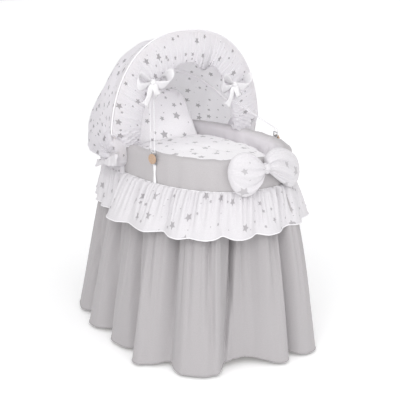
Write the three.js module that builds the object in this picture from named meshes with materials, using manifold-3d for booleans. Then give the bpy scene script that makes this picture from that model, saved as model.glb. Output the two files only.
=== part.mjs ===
// Oval wicker bassinet on a castor stand, with a folding hood, a padded bumper, a floor-length skirt
// and loose bedding. Units are millimetres, +Z is up, +X points to the foot end, and the origin is on
// the floor under the middle of the basket.

import * as THREE from "three";
import { mergeVertices } from "three/addons/utils/BufferGeometryUtils.js";
import Module from "manifold-3d";

const wasm = await Module();
wasm.setup();

// ---- Driving dimensions ----

const GAP = 0.4; // left between pieces that touch
const OVAL = 2.32; // superellipse exponent of the basket's plan

const BAND = { a: 420, b: 276, top: 719, bottom: 617 }; // outside of the padded bumper
const HEM = { a: 526, b: 397, power: 2.39, z: 10 }; // bottom of the skirt
const FRILL = { a: 463, b: 351, z: 476 }; // bottom of the gathered frill over the skirt

const BASKET = { top: 688, bottom: 470, wall: 10, inset: 16, lean: 0.157 }; // woven tub
const RIM_RADIUS = 8;
const LINING = 21; // thickness of the bumper inside the tub
const MATTRESS = { bottom: 484.5, top: 545 };
const DUVET_TOP = 690;
const PILLOW = { width: 350, length: 340, thick: 84, lean: 58, x: -245, z: 715 };

const STAND = { x: 270, y: 150, leg: 32, top: 457, shelf: 120 };
const RAIL = { height: 50, thick: 22 };
const SLAT = { x: 120, width: 60, thick: 12 };
const BOARD = 12;
const BOLT = { radius: 3, head: 7, headThick: 4, reach: 38 };

const WHEEL = { radius: 25, width: 18, bore: 4.3 };
const CASTOR = { trail: 20, cheek: 3, crown: 72, plate: 5, stem: 5.5, stemLength: 38 };
const AXLE_RADIUS = 4;
const PEDAL = { x: -41, z: 60, hub: 4.5, pin: 2, width: 12 };

const HOOD = { x: -36, z: 689, power: 2.34 }; // pivot line of both hoops
const ARCH = { width: 332, height: 418 }; // outside of the hood's front edge
const TUCK = { depth: 28, reach: 80 }; // how far the hood draws in towards its pivots
const REAR_TILT = 48; // degrees behind the front hoop
const HOOP_RADIUS = 4.5;
const HOOP_INSET = 14; // from the cloth's outside to the hoop's middle
const PIVOT = { rearEye: 287, frontEye: 294, eyeRadius: 11, eyeThick: 4, pin: 4 };
const BRACKET = { boss: 24, bossTall: 16, slot: 26, plate: 3, y: 281, z: 680, tall: 46, wide: 30 };
const VALANCE = { width: 215, height: 290, thick: 6, foot: 726 }; // its inner edge
const HEM_Z = 652; // where the hood's gathered hem grips the bumper

const CLIP = { x: 150, z: 703, disc: 17.5, thick: 7, turn: 10.1 };
const STRAP = { width: 28, height: 16, bar: 2.4, out: 5, z: 22 }; // the slot that the cord runs through
const HINGE = { out: 6, z: -15, pin: 1.1 }; // the lever's pin, near the jaw

const BOWS = { left: { y: -168, z: 935 }, right: { y: 198, z: 898 } }; // knots, tied by hand
const CORD_RADIUS = 1.2;
const KNOT = { apart: 8, drop: 60 }; // where the two strands leave the bow's tails
// Half of the turn through the clip's slot: along the bar, out from the band, and up from the clip.
const TURN = [[9.2, 8.6, 38], [9.2, 8.4, 31], [9, 7.6, 25.5], [7.8, 5, 22.4], [5.2, 2.2, 21.6]];

const FOOT_BOW = { z: 682, loopY: 84, width: 70, height: 64, deep: 27, knot: 18 };

// ---- Materials ----

const finish = (color, roughness, metalness = 0) =>
  new THREE.MeshStandardMaterial({ color, roughness, metalness, side: THREE.DoubleSide });

const beech = finish(0xd9b78a, 0.55);
const wicker = finish(0xc9a26c, 0.7);
const steel = finish(0xb9bcc0, 0.3, 1);
const plastic = finish(0x3a3c3f, 0.5);
const tread = finish(0x8a8c8f, 0.7);
const grey = finish(0x85808a, 0.95);
const starPrint = finish(0xe6e4ea, 0.95);
const linen = finish(0xf2f1f3, 0.95);
const satin = finish(0xf6f5f8, 0.35);

const model = new THREE.Group();

// ---- Geometry helpers ----

const radians = THREE.MathUtils.degToRad;
const mix = THREE.MathUtils.lerp;
const curved = (value, power) => Math.sign(value) * Math.abs(value) ** (2 / power);

// A superellipse ring in a level plane.
function oval(a, b, z, power = OVAL, count = 48) {
  const ring = [];
  for (let i = 0; i < count; i += 1) {
    const angle = (i / count) * Math.PI * 2;
    ring.push(new THREE.Vector3(a * curved(Math.cos(angle), power), b * curved(Math.sin(angle), power), z));
  }
  return ring;
}

const inset = (amount, z) => oval(BAND.a - amount, BAND.b - amount, z);

// The geometry of a triangle list, with faces turned outwards.
function closed(points, triangles) {
  let volume = 0;
  for (const [i, j, k] of triangles) {
    volume += points[i].dot(points[j].clone().cross(points[k]));
  }
  const faces = volume < 0 ? triangles.map(([i, j, k]) => [i, k, j]) : triangles;
  const geometry = new THREE.BufferGeometry().setFromPoints(points);
  geometry.setIndex(faces.flat());
  geometry.computeVertexNormals();
  return geometry;
}

// Joins rings of equal count: round and round when wrapped, or with a flat cap at each end.
function loft(rings, { wrap = false } = {}) {
  const count = rings[0].length;
  const points = rings.flat();
  const triangles = [];
  const last = wrap ? rings.length : rings.length - 1;
  for (let r = 0; r < last; r += 1) {
    const next = (r + 1) % rings.length;
    for (let i = 0; i < count; i += 1) {
      const j = (i + 1) % count;
      triangles.push([r * count + i, r * count + j, next * count + j]);
      triangles.push([r * count + i, next * count + j, next * count + i]);
    }
  }
  if (!wrap) {
    for (const r of [0, rings.length - 1]) {
      const middle = rings[r].reduce((sum, p) => sum.add(p), new THREE.Vector3()).divideScalar(count);
      const hub = points.push(middle) - 1;
      for (let i = 0; i < count; i += 1) {
        const pair = [r * count + i, r * count + ((i + 1) % count)];
        triangles.push(r === 0 ? [hub, pair[1], pair[0]] : [hub, ...pair]);
      }
    }
  }
  return closed(points, triangles);
}

// A thin sheet with an outside and an inside, joined along all four edges of its grid.
function shell(outside, inside) {
  const rows = outside.length;
  const count = outside[0].length;
  const points = [...outside.flat(), ...inside.flat()];
  const at = (side, r, i) => side * rows * count + r * count + i;
  const triangles = [];
  const quad = (a, b, c, d) => triangles.push([a, b, c], [a, c, d]);
  for (let r = 0; r < rows - 1; r += 1) {
    for (let i = 0; i < count - 1; i += 1) {
      quad(at(0, r, i), at(0, r, i + 1), at(0, r + 1, i + 1), at(0, r + 1, i));
      quad(at(1, r, i), at(1, r + 1, i), at(1, r + 1, i + 1), at(1, r, i + 1));
    }
    quad(at(0, r, 0), at(0, r + 1, 0), at(1, r + 1, 0), at(1, r, 0));
    quad(at(0, r, count - 1), at(1, r, count - 1), at(1, r + 1, count - 1), at(0, r + 1, count - 1));
  }
  for (let i = 0; i < count - 1; i += 1) {
    quad(at(0, 0, i), at(1, 0, i), at(1, 0, i + 1), at(0, 0, i + 1));
    quad(at(0, rows - 1, i), at(0, rows - 1, i + 1), at(1, rows - 1, i + 1), at(1, rows - 1, i));
  }
  return closed(points, triangles);
}

// A geometry as a manifold solid, for joining and cutting.
function solid(geometry) {
  const bare = geometry.clone();
  bare.deleteAttribute("normal");
  if (bare.attributes.uv) bare.deleteAttribute("uv");
  const merged = mergeVertices(bare, 1e-3);
  return new wasm.Manifold(
    new wasm.Mesh({
      numProp: 3,
      vertProperties: new Float32Array(merged.attributes.position.array),
      triVerts: new Uint32Array(merged.index.array),
    }),
  );
}

function skin(manifold) {
  const mesh = manifold.getMesh();
  const geometry = new THREE.BufferGeometry();
  geometry.setAttribute("position", new THREE.BufferAttribute(mesh.vertProperties, mesh.numProp));
  geometry.setIndex(Array.from(mesh.triVerts));
  geometry.computeVertexNormals();
  return geometry;
}

const join = (...pieces) => skin(pieces.map(solid).reduce((sum, piece) => sum.add(piece)));
const cut = (piece, ...holes) =>
  skin(holes.map(solid).reduce((left, hole) => left.subtract(hole), solid(piece)));

const block = (x, y, z, at) => new THREE.BoxGeometry(x, y, z).translate(...at);

// A cylinder along one axis.
function rod(radius, length, axis, at, sides = 14) {
  const geometry = new THREE.CylinderGeometry(radius, radius, length, sides);
  if (axis === "x") geometry.rotateZ(Math.PI / 2);
  if (axis === "z") geometry.rotateX(Math.PI / 2);
  return geometry.translate(...at);
}

// A flat plate cut to an outline in the YZ plane, from x to x + thick.
function upright(outline, thick, x) {
  const shape = new THREE.Shape(outline.map(([y, z]) => new THREE.Vector2(y, z)));
  const plate = new THREE.ExtrudeGeometry(shape, { depth: thick, bevelEnabled: false, curveSegments: 8 });
  const turn = new THREE.Matrix4().set(0, 0, 1, x, 1, 0, 0, 0, 0, 1, 0, 0, 0, 0, 0, 1);
  return plate.applyMatrix4(turn);
}

// A round tube along a smooth curve through points.
function tube(points, radius, steps, sides = 10) {
  const section = new THREE.Shape();
  for (let i = 0; i < sides; i += 1) {
    const angle = (i / sides) * Math.PI * 2;
    const corner = [radius * Math.cos(angle), radius * Math.sin(angle)];
    if (i === 0) section.moveTo(...corner);
    else section.lineTo(...corner);
  }
  const path = new THREE.CatmullRomCurve3(points, false, "centripetal");
  return new THREE.ExtrudeGeometry(section, { extrudePath: path, steps, bevelEnabled: false });
}

function add(name, geometry, material, parent = model) {
  const mesh = new THREE.Mesh(geometry, material);
  mesh.name = name;
  parent.add(mesh);
  return mesh;
}

const ENDS = [["head", -1], ["foot", 1]];
const SIDES = [["left", -1], ["right", 1]];

// ---- Stand ----

const railZ = STAND.top - RAIL.height / 2;
const legBottom = CASTOR.crown + CASTOR.plate + GAP;
const halfLeg = STAND.leg / 2;

function leg(x, y) {
  const height = STAND.top - legBottom;
  const post = block(STAND.leg, STAND.leg, height, [x, y, legBottom + height / 2]);
  const socket = rod(CASTOR.stem + 0.5, 2 * (CASTOR.stemLength + 1), "z", [x, y, legBottom]);
  const boltHole = rod(BOLT.radius + 0.5, STAND.leg * 2, "x", [x, y, railZ]);
  return cut(post, socket, boltHole);
}

function sideRail(y) {
  const length = 2 * (STAND.x - halfLeg - GAP);
  const rail = block(length, RAIL.thick, RAIL.height, [0, y, railZ]);
  const holes = [-1, 1].map((end) =>
    rod(BOLT.radius + 0.5, 2 * (BOLT.reach + 2), "x", [(end * length) / 2, y, railZ]));
  return cut(rail, ...holes);
}

function endRail(x) {
  return block(RAIL.thick, 2 * (STAND.y - halfLeg - GAP), RAIL.height, [x, 0, railZ]);
}

// The bolt's head sits outside the leg and its shank reaches into the side rail.
function railBolt(end, y) {
  const face = end * (STAND.x + halfLeg + GAP);
  const length = STAND.leg + BOLT.reach;
  const shank = rod(BOLT.radius, length, "x", [face - (end * length) / 2, y, railZ]);
  const head = rod(BOLT.head, BOLT.headThick, "x", [face + (end * BOLT.headThick) / 2, y, railZ]);
  return join(shank, head);
}

function slat(x) {
  const length = 2 * (STAND.y + RAIL.thick / 2);
  return block(SLAT.width, length, SLAT.thick, [x, 0, STAND.top + GAP + SLAT.thick / 2]);
}

function shelf() {
  const length = 2 * (STAND.x - halfLeg - GAP);
  return block(length, 2 * (STAND.y + halfLeg), BOARD, [0, 0, STAND.shelf + BOARD / 2]);
}

for (const [end, sx] of ENDS) {
  add(`end_rail_${end}`, endRail(sx * STAND.x), beech);
  add(`slat_${end}`, slat(sx * SLAT.x), beech);
  for (const [side, sy] of SIDES) {
    add(`leg_${end}_${side}`, leg(sx * STAND.x, sy * STAND.y), beech);
    add(`rail_bolt_${end}_${side}`, railBolt(sx, sy * STAND.y), steel);
  }
}
for (const [side, sy] of SIDES) {
  add(`side_rail_${side}`, sideRail(sy * STAND.y), beech);
}
add("shelf", shelf(), beech);

// ---- Castors: the swivel axis is the leg's axis, and the wheel trails towards the head ----

const cheekY = WHEEL.width / 2 + 2 + CASTOR.cheek / 2;

// The side of the fork: a wide top that narrows to a round end about the axle.
function cheekOutline() {
  const outline = new THREE.Shape();
  outline.moveTo(16, CASTOR.crown);
  outline.lineTo(16, CASTOR.crown - 12);
  outline.lineTo(9 - CASTOR.trail, WHEEL.radius);
  outline.absarc(-CASTOR.trail, WHEEL.radius, 9, 0, Math.PI, true);
  outline.lineTo(-47, CASTOR.crown - 18);
  outline.lineTo(-47, CASTOR.crown);
  return outline;
}

function castorFork(hasBrake) {
  const sheetMetal = { depth: CASTOR.cheek, bevelEnabled: false, curveSegments: 8 };
  const cheeks = [-1, 1].map((side) => {
    const plate = new THREE.ExtrudeGeometry(cheekOutline(), sheetMetal);
    return plate.rotateX(Math.PI / 2).translate(0, side * cheekY + CASTOR.cheek / 2, 0);
  });
  const crownWidth = 2 * cheekY + CASTOR.cheek;
  const crown = block(63, crownWidth, 6, [-15.5, 0, CASTOR.crown - 3]);
  const plate = rod(15, CASTOR.plate + 1, "z", [0, 0, CASTOR.crown + CASTOR.plate / 2 - 0.5], 20);
  const stemZ = CASTOR.crown + CASTOR.plate + CASTOR.stemLength / 2 - 3;
  const stem = rod(CASTOR.stem, CASTOR.stemLength + 6, "z", [0, 0, stemZ]);
  const holes = [rod(AXLE_RADIUS + 0.25, 60, "y", [-CASTOR.trail, 0, WHEEL.radius])];
  if (hasBrake) holes.push(rod(PEDAL.pin + 0.4, 60, "y", [PEDAL.x, 0, PEDAL.z]));
  return cut(join(...cheeks, crown, plate, stem), ...holes);
}

function wheel() {
  const half = WHEEL.width / 2;
  const profile = [
    [WHEEL.bore, -half], [WHEEL.radius - 4, -half], [WHEEL.radius, 4 - half],
    [WHEEL.radius, half - 4], [WHEEL.radius - 4, half], [WHEEL.bore, half], [WHEEL.bore, -half],
  ];
  return new THREE.LatheGeometry(profile.map(([r, y]) => new THREE.Vector2(r, y)), 24);
}

function axle() {
  const face = cheekY + CASTOR.cheek / 2;
  const shank = rod(AXLE_RADIUS, 2 * face + 3, "y", [0, 0, 0]);
  const head = rod(AXLE_RADIUS + 3, 2, "y", [0, -face - 1.3, 0]);
  return join(shank, head);
}

// A foot pedal on a cross pin between the fork's cheeks, with a shoe just clear of the tyre.
function brakeLever() {
  const pedal = block(34, PEDAL.width, 4, [-20, 0, 3]);
  const shoe = block(8, PEDAL.width, 9, [0, 0, -1]);
  const hub = rod(PEDAL.hub, PEDAL.width, "y", [0, 0, 0]);
  const pin = rod(PEDAL.pin, 2 * (cheekY + CASTOR.cheek / 2) - 0.5, "y", [0, 0, 0]);
  return join(pedal, shoe, hub, pin);
}

for (const [end, sx] of ENDS) {
  for (const [side, sy] of SIDES) {
    const castor = new THREE.Group();
    castor.position.set(sx * STAND.x, sy * STAND.y, 0);
    model.add(castor);
    const name = `${end}_${side}`;
    add(`castor_fork_${name}`, castorFork(sx > 0), plastic, castor);
    add(`wheel_${name}`, wheel(), tread, castor).position.set(-CASTOR.trail, 0, WHEEL.radius);
    add(`axle_${name}`, axle(), steel, castor).position.set(-CASTOR.trail, 0, WHEEL.radius);
    if (sx > 0) add(`brake_lever_${side}`, brakeLever(), plastic, castor).position.set(PEDAL.x, 0, PEDAL.z);
  }
}

// ---- Basket: a woven tub that leans out, a woven base and a braided rim ----

const wallOut = (z) => BASKET.inset + BASKET.lean * (BASKET.top - z);
const wallIn = (z) => wallOut(z) + BASKET.wall;

function basketWall() {
  return loft([
    inset(wallOut(BASKET.bottom), BASKET.bottom),
    inset(wallOut(BASKET.top), BASKET.top),
    inset(wallIn(BASKET.top), BASKET.top),
    inset(wallIn(BASKET.bottom), BASKET.bottom),
  ], { wrap: true });
}

function plug(bottom, top, clearance) {
  const rings = [bottom, top].map((z) => inset(wallIn(z) + clearance, z));
  return loft(rings);
}

function basketRim() {
  const middle = BASKET.inset + BASKET.wall / 2;
  const z = BASKET.top + GAP + RIM_RADIUS;
  const rings = [];
  for (let i = 0; i < 8; i += 1) {
    const angle = radians(i * 45);
    rings.push(inset(middle - RIM_RADIUS * Math.cos(angle), z + RIM_RADIUS * Math.sin(angle)));
  }
  return loft(rings, { wrap: true });
}

add("basket_wall", basketWall(), wicker);
add("basket_base", plug(BASKET.bottom + 2, BASKET.bottom + 14, GAP), wicker);
add("basket_rim", basketRim(), wicker);

// ---- Bedding ----

// A padded hoop that hangs over the rim: a thin skin outside and a thick one inside.
function bumper() {
  const inner = (z) => wallIn(z) + 1;
  const foot = MATTRESS.top + 12;
  const section = [
    [0, BAND.bottom], [0, BAND.top - 17], [4, BAND.top - 6], [12, BAND.top], [32, BAND.top],
    [44, BAND.top - 8], [inner(BASKET.top) + LINING, BAND.top - 28], [inner(foot) + LINING, foot],
    [inner(foot), foot], [inner(BASKET.top), BASKET.top - 2], [31, BASKET.top - 1], [31, BAND.top - 12],
    [11, BAND.top - 12], [11, BAND.bottom],
  ];
  const ring = loft(section.map(([depth, z]) => inset(depth, z)), { wrap: true });
  const slots = SIDES.map(([, sy]) =>
    block(BRACKET.boss + 1, 40, BRACKET.slot, [HOOD.x, sy * 267, BRACKET.z + 3]));
  return cut(ring, ...slots);
}

function mattress() {
  const rise = MATTRESS.top - MATTRESS.bottom;
  const rings = [[8, 0], [1, 8], [1, rise - 8], [8, rise]].map(([depth, up]) => {
    const z = MATTRESS.bottom + up;
    return inset(wallIn(z) + depth, z);
  });
  return loft(rings);
}

// A cushion: a squarish outline that thins towards its edges, lying in its own XY plane.
function cushion(width, length, thick) {
  const rings = [];
  const levels = [-1, -0.8, -0.35, 0.35, 0.8, 1];
  for (const level of levels) {
    const spread = 1 - 0.42 * Math.abs(level) ** 3;
    rings.push(oval((length / 2) * spread, (width / 2) * spread, (level * thick) / 2, 3, 40));
  }
  return loft(rings);
}

function leaning(geometry, x, z) {
  return geometry.rotateY(radians(PILLOW.lean)).translate(x, 0, z);
}

// The duvet fills the tub from the mattress to just under the rim, and stops short of the pillow.
function duvet() {
  const bottom = MATTRESS.top + GAP;
  const levels = [[9, bottom], [2, bottom + 18], [3, DUVET_TOP - 45], [26, DUVET_TOP - 14], [80, DUVET_TOP]];
  const rings = levels.map(([depth, z]) => inset(wallIn(z) + 1 + LINING + depth, z));
  const behind = block(900, 600, 500, [0, 0, PILLOW.thick / 2 + 3 - 250]);
  return cut(loft(rings), leaning(behind, PILLOW.x, PILLOW.z));
}

add("bumper", bumper(), grey);
add("mattress", mattress(), linen);
add("pillow", leaning(cushion(PILLOW.width, PILLOW.length, PILLOW.thick), PILLOW.x, PILLOW.z), starPrint);
add("duvet", duvet(), starPrint);

// ---- Skirt and frill: open tubes of cloth that flare to the floor ----

function flare(top, bottom, thick) {
  const ring = (size, inward, z) => oval(size.a - inward, size.b - inward, z, size.power ?? OVAL);
  return loft([
    ring(bottom, 0, bottom.z), ring(top, 0, top.z), ring(top, thick, top.z), ring(bottom, thick, bottom.z),
  ], { wrap: true });
}

const seam = BAND.bottom - GAP;
add("skirt", flare({ a: BAND.a - 8, b: BAND.b - 8, z: seam - 1 }, HEM, 4), grey);
add("frill", flare({ a: BAND.a + 4, b: BAND.b + 4, z: seam }, FRILL, 6), starPrint);

// ---- Hood ----

const hoodTilt = (tilt) => Math.sin(2 * radians(tilt)) ** 2;

// The hood's outline at a tilt behind the front hoop, sagging a little between the hoops.
function archSize(tilt) {
  return {
    width: ARCH.width - 16 * hoodTilt(tilt) + 6 * Math.sin(radians(tilt)) ** 2,
    height: ARCH.height - 26 * hoodTilt(tilt),
  };
}

// One point of an arch that stands on the pivots: angle runs 0 to 180 degrees from side to side.
function archPoint(size, angle, tilt, forward = 0) {
  const reach = size.height * curved(Math.sin(radians(angle)), HOOD.power);
  const draw = (size.tuck ?? TUCK.depth) * Math.max(0, 1 - reach / TUCK.reach) ** 2;
  const across = curved(Math.cos(radians(angle)), HOOD.power);
  const y = size.width * across - draw * Math.sign(across);
  const back = reach * Math.sin(radians(tilt));
  return new THREE.Vector3(HOOD.x - back + forward, y, HOOD.z + reach * Math.cos(radians(tilt)));
}

// A bent hoop with a flat eye at each end, at a tilt behind upright.
function hoop(size, eye, tilt) {
  const points = [];
  for (let angle = 4; angle <= 176; angle += 4) {
    points.push(archPoint(size, angle, 0));
  }
  const foot = (side) => new THREE.Vector3(HOOD.x, side * eye, HOOD.z + 7);
  const arch = tube([foot(1), ...points, foot(-1)], HOOP_RADIUS, 48, 8);
  const eyes = [-1, 1].map((side) => rod(PIVOT.eyeRadius, PIVOT.eyeThick, "y", [HOOD.x, side * eye, HOOD.z]));
  const holes = [-1, 1].map((side) => rod(PIVOT.pin + 0.4, 20, "y", [HOOD.x, side * eye, HOOD.z]));
  const inner = [-1, 1].map((side) =>
    block(30, 20, 36, [HOOD.x, side * (eye - PIVOT.eyeThick / 2 - 10), HOOD.z]));
  const outer = [-1, 1].map((side) =>
    block(30, 20, 26, [HOOD.x, side * (eye + PIVOT.eyeThick / 2 + 10), HOOD.z]));
  const made = cut(join(arch, ...eyes), ...holes, ...inner, ...outer);
  const turn = new THREE.Matrix4()
    .makeTranslation(HOOD.x, 0, HOOD.z)
    .multiply(new THREE.Matrix4().makeRotationY(-radians(tilt)))
    .multiply(new THREE.Matrix4().makeTranslation(-HOOD.x, 0, -HOOD.z));
  return made.applyMatrix4(turn);
}

function shrunk(size, amount) {
  return { width: size.width - amount, height: size.height - amount };
}

// The cover runs from the front arch over the rear hoop and balloons down to its gathered hem.
function canopy() {
  const sheet = (depth) => {
    const rows = [];
    const row = (point) => {
      const line = [];
      for (let angle = 3; angle <= 177; angle += 7.25) line.push(point(angle));
      rows.push(line);
    };
    row((angle) => archPoint(shrunk(archSize(0), depth), angle, 0, 5));
    for (let tilt = 0; tilt <= 90; tilt += 10) {
      row((angle) => archPoint(shrunk(archSize(tilt), depth), angle, tilt));
    }
    const hem = { width: BAND.b + 9 - depth, height: BAND.a + 9 + HOOD.x - depth, tuck: 0 };
    for (const drop of [0.6, 1]) {
      row((angle) => {
        const high = archPoint(shrunk(archSize(90), depth), angle, 90);
        const low = archPoint(hem, angle, 90);
        const point = high.lerp(low, drop ** 2);
        point.z = mix(HOOD.z, HEM_Z, drop);
        return point;
      });
    }
    return rows;
  };
  return shell(sheet(0), sheet(3));
}

// The gathered band that faces forward inside the front arch.
function valance() {
  const size = { width: VALANCE.width, height: VALANCE.height };
  const rim = [];
  for (let angle = 0; angle <= 180; angle += 4) {
    const outer = archPoint(shrunk(ARCH, 1), angle, 0);
    const inner = archPoint(size, 180 - angle, 0);
    rim.push([outer, inner]);
  }
  const above = (p) => p.z > VALANCE.foot;
  const edge = (p, width) => [Math.sign(p.y) * width, VALANCE.foot];
  const outer = rim.map(([p]) => p).filter(above);
  const inner = rim.map(([, p]) => p).filter(above);
  const outline = [
    edge(outer[0], ARCH.width - 8), ...outer.map((p) => [p.y, p.z]), edge(outer.at(-1), ARCH.width - 8),
    edge(inner[0], VALANCE.width - 2), ...inner.map((p) => [p.y, p.z]), edge(inner.at(-1), VALANCE.width - 2),
  ];
  return upright(outline, VALANCE.thick, HOOD.x + 6);
}

// A tied bow: two loops and two slanting tails about a knot.
function ribbonBow() {
  const half = [[0, 9], [14, 20], [34, 18], [40, 2], [30, -12], [12, -8], [20, -44], [8, -50], [0, -12]];
  const other = half.slice(1, -1).reverse().map(([y, z]) => [-y, z]);
  return upright([...half, ...other], 9, 0);
}

// The pivot bracket reaches through the bumper to the tub, and carries the pin that both hoops turn on.
function hoodBracket(side) {
  const reach = BRACKET.y - (BAND.b - BASKET.inset) - GAP;
  const bossY = side * (BRACKET.y - reach / 2 + 0.5);
  const boss = block(BRACKET.boss, reach, BRACKET.bossTall, [HOOD.x, bossY, BRACKET.z]);
  const plate = block(BRACKET.wide, BRACKET.plate, BRACKET.tall,
    [HOOD.x, side * (BRACKET.y + BRACKET.plate / 2), BRACKET.z]);
  const hole = rod(PIVOT.pin + 0.3, 24, "y", [HOOD.x, side * BRACKET.y, HOOD.z]);
  return cut(join(boss, plate), hole);
}

function hoodPin(side) {
  const inner = BRACKET.y - 10;
  const outer = PIVOT.frontEye + PIVOT.eyeThick / 2 + GAP;
  const shank = rod(PIVOT.pin, outer - inner, "y", [HOOD.x, (side * (outer + inner)) / 2, HOOD.z]);
  const head = rod(8, 3, "y", [HOOD.x, side * (outer + 1.5), HOOD.z]);
  return join(shank, head);
}

add("front_hoop", hoop(shrunk(ARCH, HOOP_INSET), PIVOT.frontEye, 0), wicker);
add("rear_hoop", hoop(shrunk(archSize(REAR_TILT), HOOP_INSET), PIVOT.rearEye, REAR_TILT), wicker);
add("canopy", canopy(), starPrint);
add("valance", valance(), starPrint);
for (const [side, sy] of SIDES) {
  add(`hood_bracket_${side}`, hoodBracket(sy), steel);
  add(`hood_pin_${side}`, hoodPin(sy), steel);
}

const bowX = HOOD.x + 6 + VALANCE.thick + GAP;
for (const [side] of SIDES) {
  add(`satin_bow_${side}`, ribbonBow(), satin).position.set(bowX, BOWS[side].y, BOWS[side].z);
}

// ---- Clips: a steel frame on a satin tab, and a wooden disc on the lever that closes it ----

const bandY = BAND.b * (1 - (CLIP.x / BAND.a) ** OVAL) ** (1 / OVAL);

function clipFrame() {
  const plate = block(20, 3.4, 37, [0, -4.1, -2]);
  const ring = block(STRAP.width, STRAP.bar, STRAP.height, [0, -STRAP.out, STRAP.z]);
  const hollow = [STRAP.width - 2 * STRAP.bar, 10, STRAP.height - 2 * STRAP.bar];
  const slot = block(...hollow, [0, -STRAP.out, STRAP.z]);
  const ears = [-1, 1].map((side) => block(2, 5.8, 6, [side * 9, -5.3, HINGE.z]));
  return cut(join(plate, ring, ...ears), slot, rod(HINGE.pin + 0.4, 60, "x", [0, -HINGE.out, HINGE.z]));
}

function clipLever() {
  const arm = block(13, 1.4, 30, [0, -HINGE.out - 1, HINGE.z + 15.5]);
  const pin = rod(HINGE.pin, 21, "x", [0, -HINGE.out, HINGE.z], 12);
  return join(arm, pin);
}

function clipDisc() {
  const radius = CLIP.disc;
  const half = CLIP.thick / 2;
  const profile = [
    [0, -half], [radius - 2, -half], [radius, 1.5 - half],
    [radius, half - 1.5], [radius - 2, half], [0, half],
  ];
  return new THREE.LatheGeometry(profile.map(([r, y]) => new THREE.Vector2(r, y)), 24);
}

// A ribbon sewn into the seam under the bumper's band, with its top end in the clip's jaw.
function satinTab() {
  const height = CLIP.z - 20 - BAND.bottom;
  return block(15, 1.2, height, [0, -1.4, -20 - height / 2]);
}

for (const [side, sy] of SIDES) {
  const clip = new THREE.Group();
  clip.position.set(CLIP.x, sy * bandY, CLIP.z);
  clip.rotation.z = radians(sy < 0 ? CLIP.turn : 180 - CLIP.turn);
  model.add(clip);
  add(`clip_frame_${side}`, clipFrame(), steel, clip);
  add(`clip_lever_${side}`, clipLever(), steel, clip);
  add(`clip_disc_${side}`, clipDisc(), beech, clip).position.set(0, -8.6 - CLIP.thick / 2, 1);
  add(`satin_tab_${side}`, satinTab(), satin, clip);
}

// ---- Hood cords: one loop each, from the bow's knot through the clip's slot and back ----

function hoodCord(side, bow) {
  const turn = radians(CLIP.turn);
  const along = new THREE.Vector3(Math.cos(turn), -side * Math.sin(turn), 0);
  const outward = new THREE.Vector3(Math.sin(turn), side * Math.cos(turn), 0);
  const slot = ([x, out, up]) => new THREE.Vector3(CLIP.x, side * bandY, CLIP.z + up)
    .addScaledVector(along, x)
    .addScaledVector(outward, out);
  const strand = (hand) => {
    const high = new THREE.Vector3(bowX + 4.5, bow.y + hand * KNOT.apart, bow.z - KNOT.drop);
    const turns = TURN.map(([x, out, up]) => slot([hand * x, out, up]));
    return [...[0, 0.15, 0.4, 0.7].map((share) => high.clone().lerp(turns[0], share)), ...turns];
  };
  const middle = slot([0, 1.9, 21.5]);
  return tube([...strand(-1), middle, ...strand(1).reverse()], CORD_RADIUS, 80, 8);
}

for (const [side, sy] of SIDES) {
  add(`hood_cord_${side}`, hoodCord(sy, BOWS[side]), linen);
}

// ---- Foot bow: two puffed loops about a gathered knot ----

function puff(x, y, z, at) {
  return new THREE.SphereGeometry(1, 16, 10).scale(x, y, z).translate(...at);
}

function footBow() {
  const x = BAND.a + FOOT_BOW.deep - 8;
  const loops = [-1, 1].map((side) =>
    puff(FOOT_BOW.deep - 5, FOOT_BOW.width, FOOT_BOW.height, [x, side * FOOT_BOW.loopY, FOOT_BOW.z]));
  const waist = puff(13, 60, 26, [x + 3, 0, FOOT_BOW.z]);
  const space = puff(FOOT_BOW.knot + 2.5, FOOT_BOW.knot + 0.5, FOOT_BOW.knot + 8.5, [x + 3, 0, FOOT_BOW.z]);
  const grip = block(80, 12, 100, [x, 0, FOOT_BOW.z]);
  const core = puff(6, 30, 10, [x + 3, 0, FOOT_BOW.z]);
  const parted = solid(join(...loops, waist)).subtract(solid(space)).subtract(solid(grip));
  return skin(parted.add(solid(core)));
}

function footBowKnot() {
  const x = BAND.a + FOOT_BOW.deep - 5;
  const band = puff(FOOT_BOW.knot, FOOT_BOW.knot - 3, FOOT_BOW.knot + 6, [x, 0, FOOT_BOW.z]);
  const bore = puff(6 + GAP, 30 + GAP, 10 + GAP, [x, 0, FOOT_BOW.z]);
  return cut(band, bore);
}

add("foot_bow", footBow(), starPrint);
add("foot_bow_knot", footBowKnot(), starPrint);

export default model;
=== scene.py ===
"""The bassinet's looks: cloth, bedding, ribbons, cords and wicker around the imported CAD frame."""

import math

import bmesh
import bpy
import numpy as np
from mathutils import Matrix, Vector


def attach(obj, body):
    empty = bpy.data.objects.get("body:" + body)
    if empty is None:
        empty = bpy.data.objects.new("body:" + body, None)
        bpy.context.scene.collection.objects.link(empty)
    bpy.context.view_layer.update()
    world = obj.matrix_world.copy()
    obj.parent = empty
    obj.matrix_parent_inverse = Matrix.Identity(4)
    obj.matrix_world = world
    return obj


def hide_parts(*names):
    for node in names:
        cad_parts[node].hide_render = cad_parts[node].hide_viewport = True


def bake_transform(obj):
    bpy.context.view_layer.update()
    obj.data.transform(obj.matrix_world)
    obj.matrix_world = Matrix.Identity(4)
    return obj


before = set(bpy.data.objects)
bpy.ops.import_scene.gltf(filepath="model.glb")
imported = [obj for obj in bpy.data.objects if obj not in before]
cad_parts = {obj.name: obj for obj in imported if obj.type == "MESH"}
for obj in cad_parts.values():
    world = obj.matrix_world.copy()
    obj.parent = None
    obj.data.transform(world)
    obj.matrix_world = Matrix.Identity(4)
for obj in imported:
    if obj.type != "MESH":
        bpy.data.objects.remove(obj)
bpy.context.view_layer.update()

MM = 0.001

# ---- Sizes shared with the CAD part, in metres ----

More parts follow.
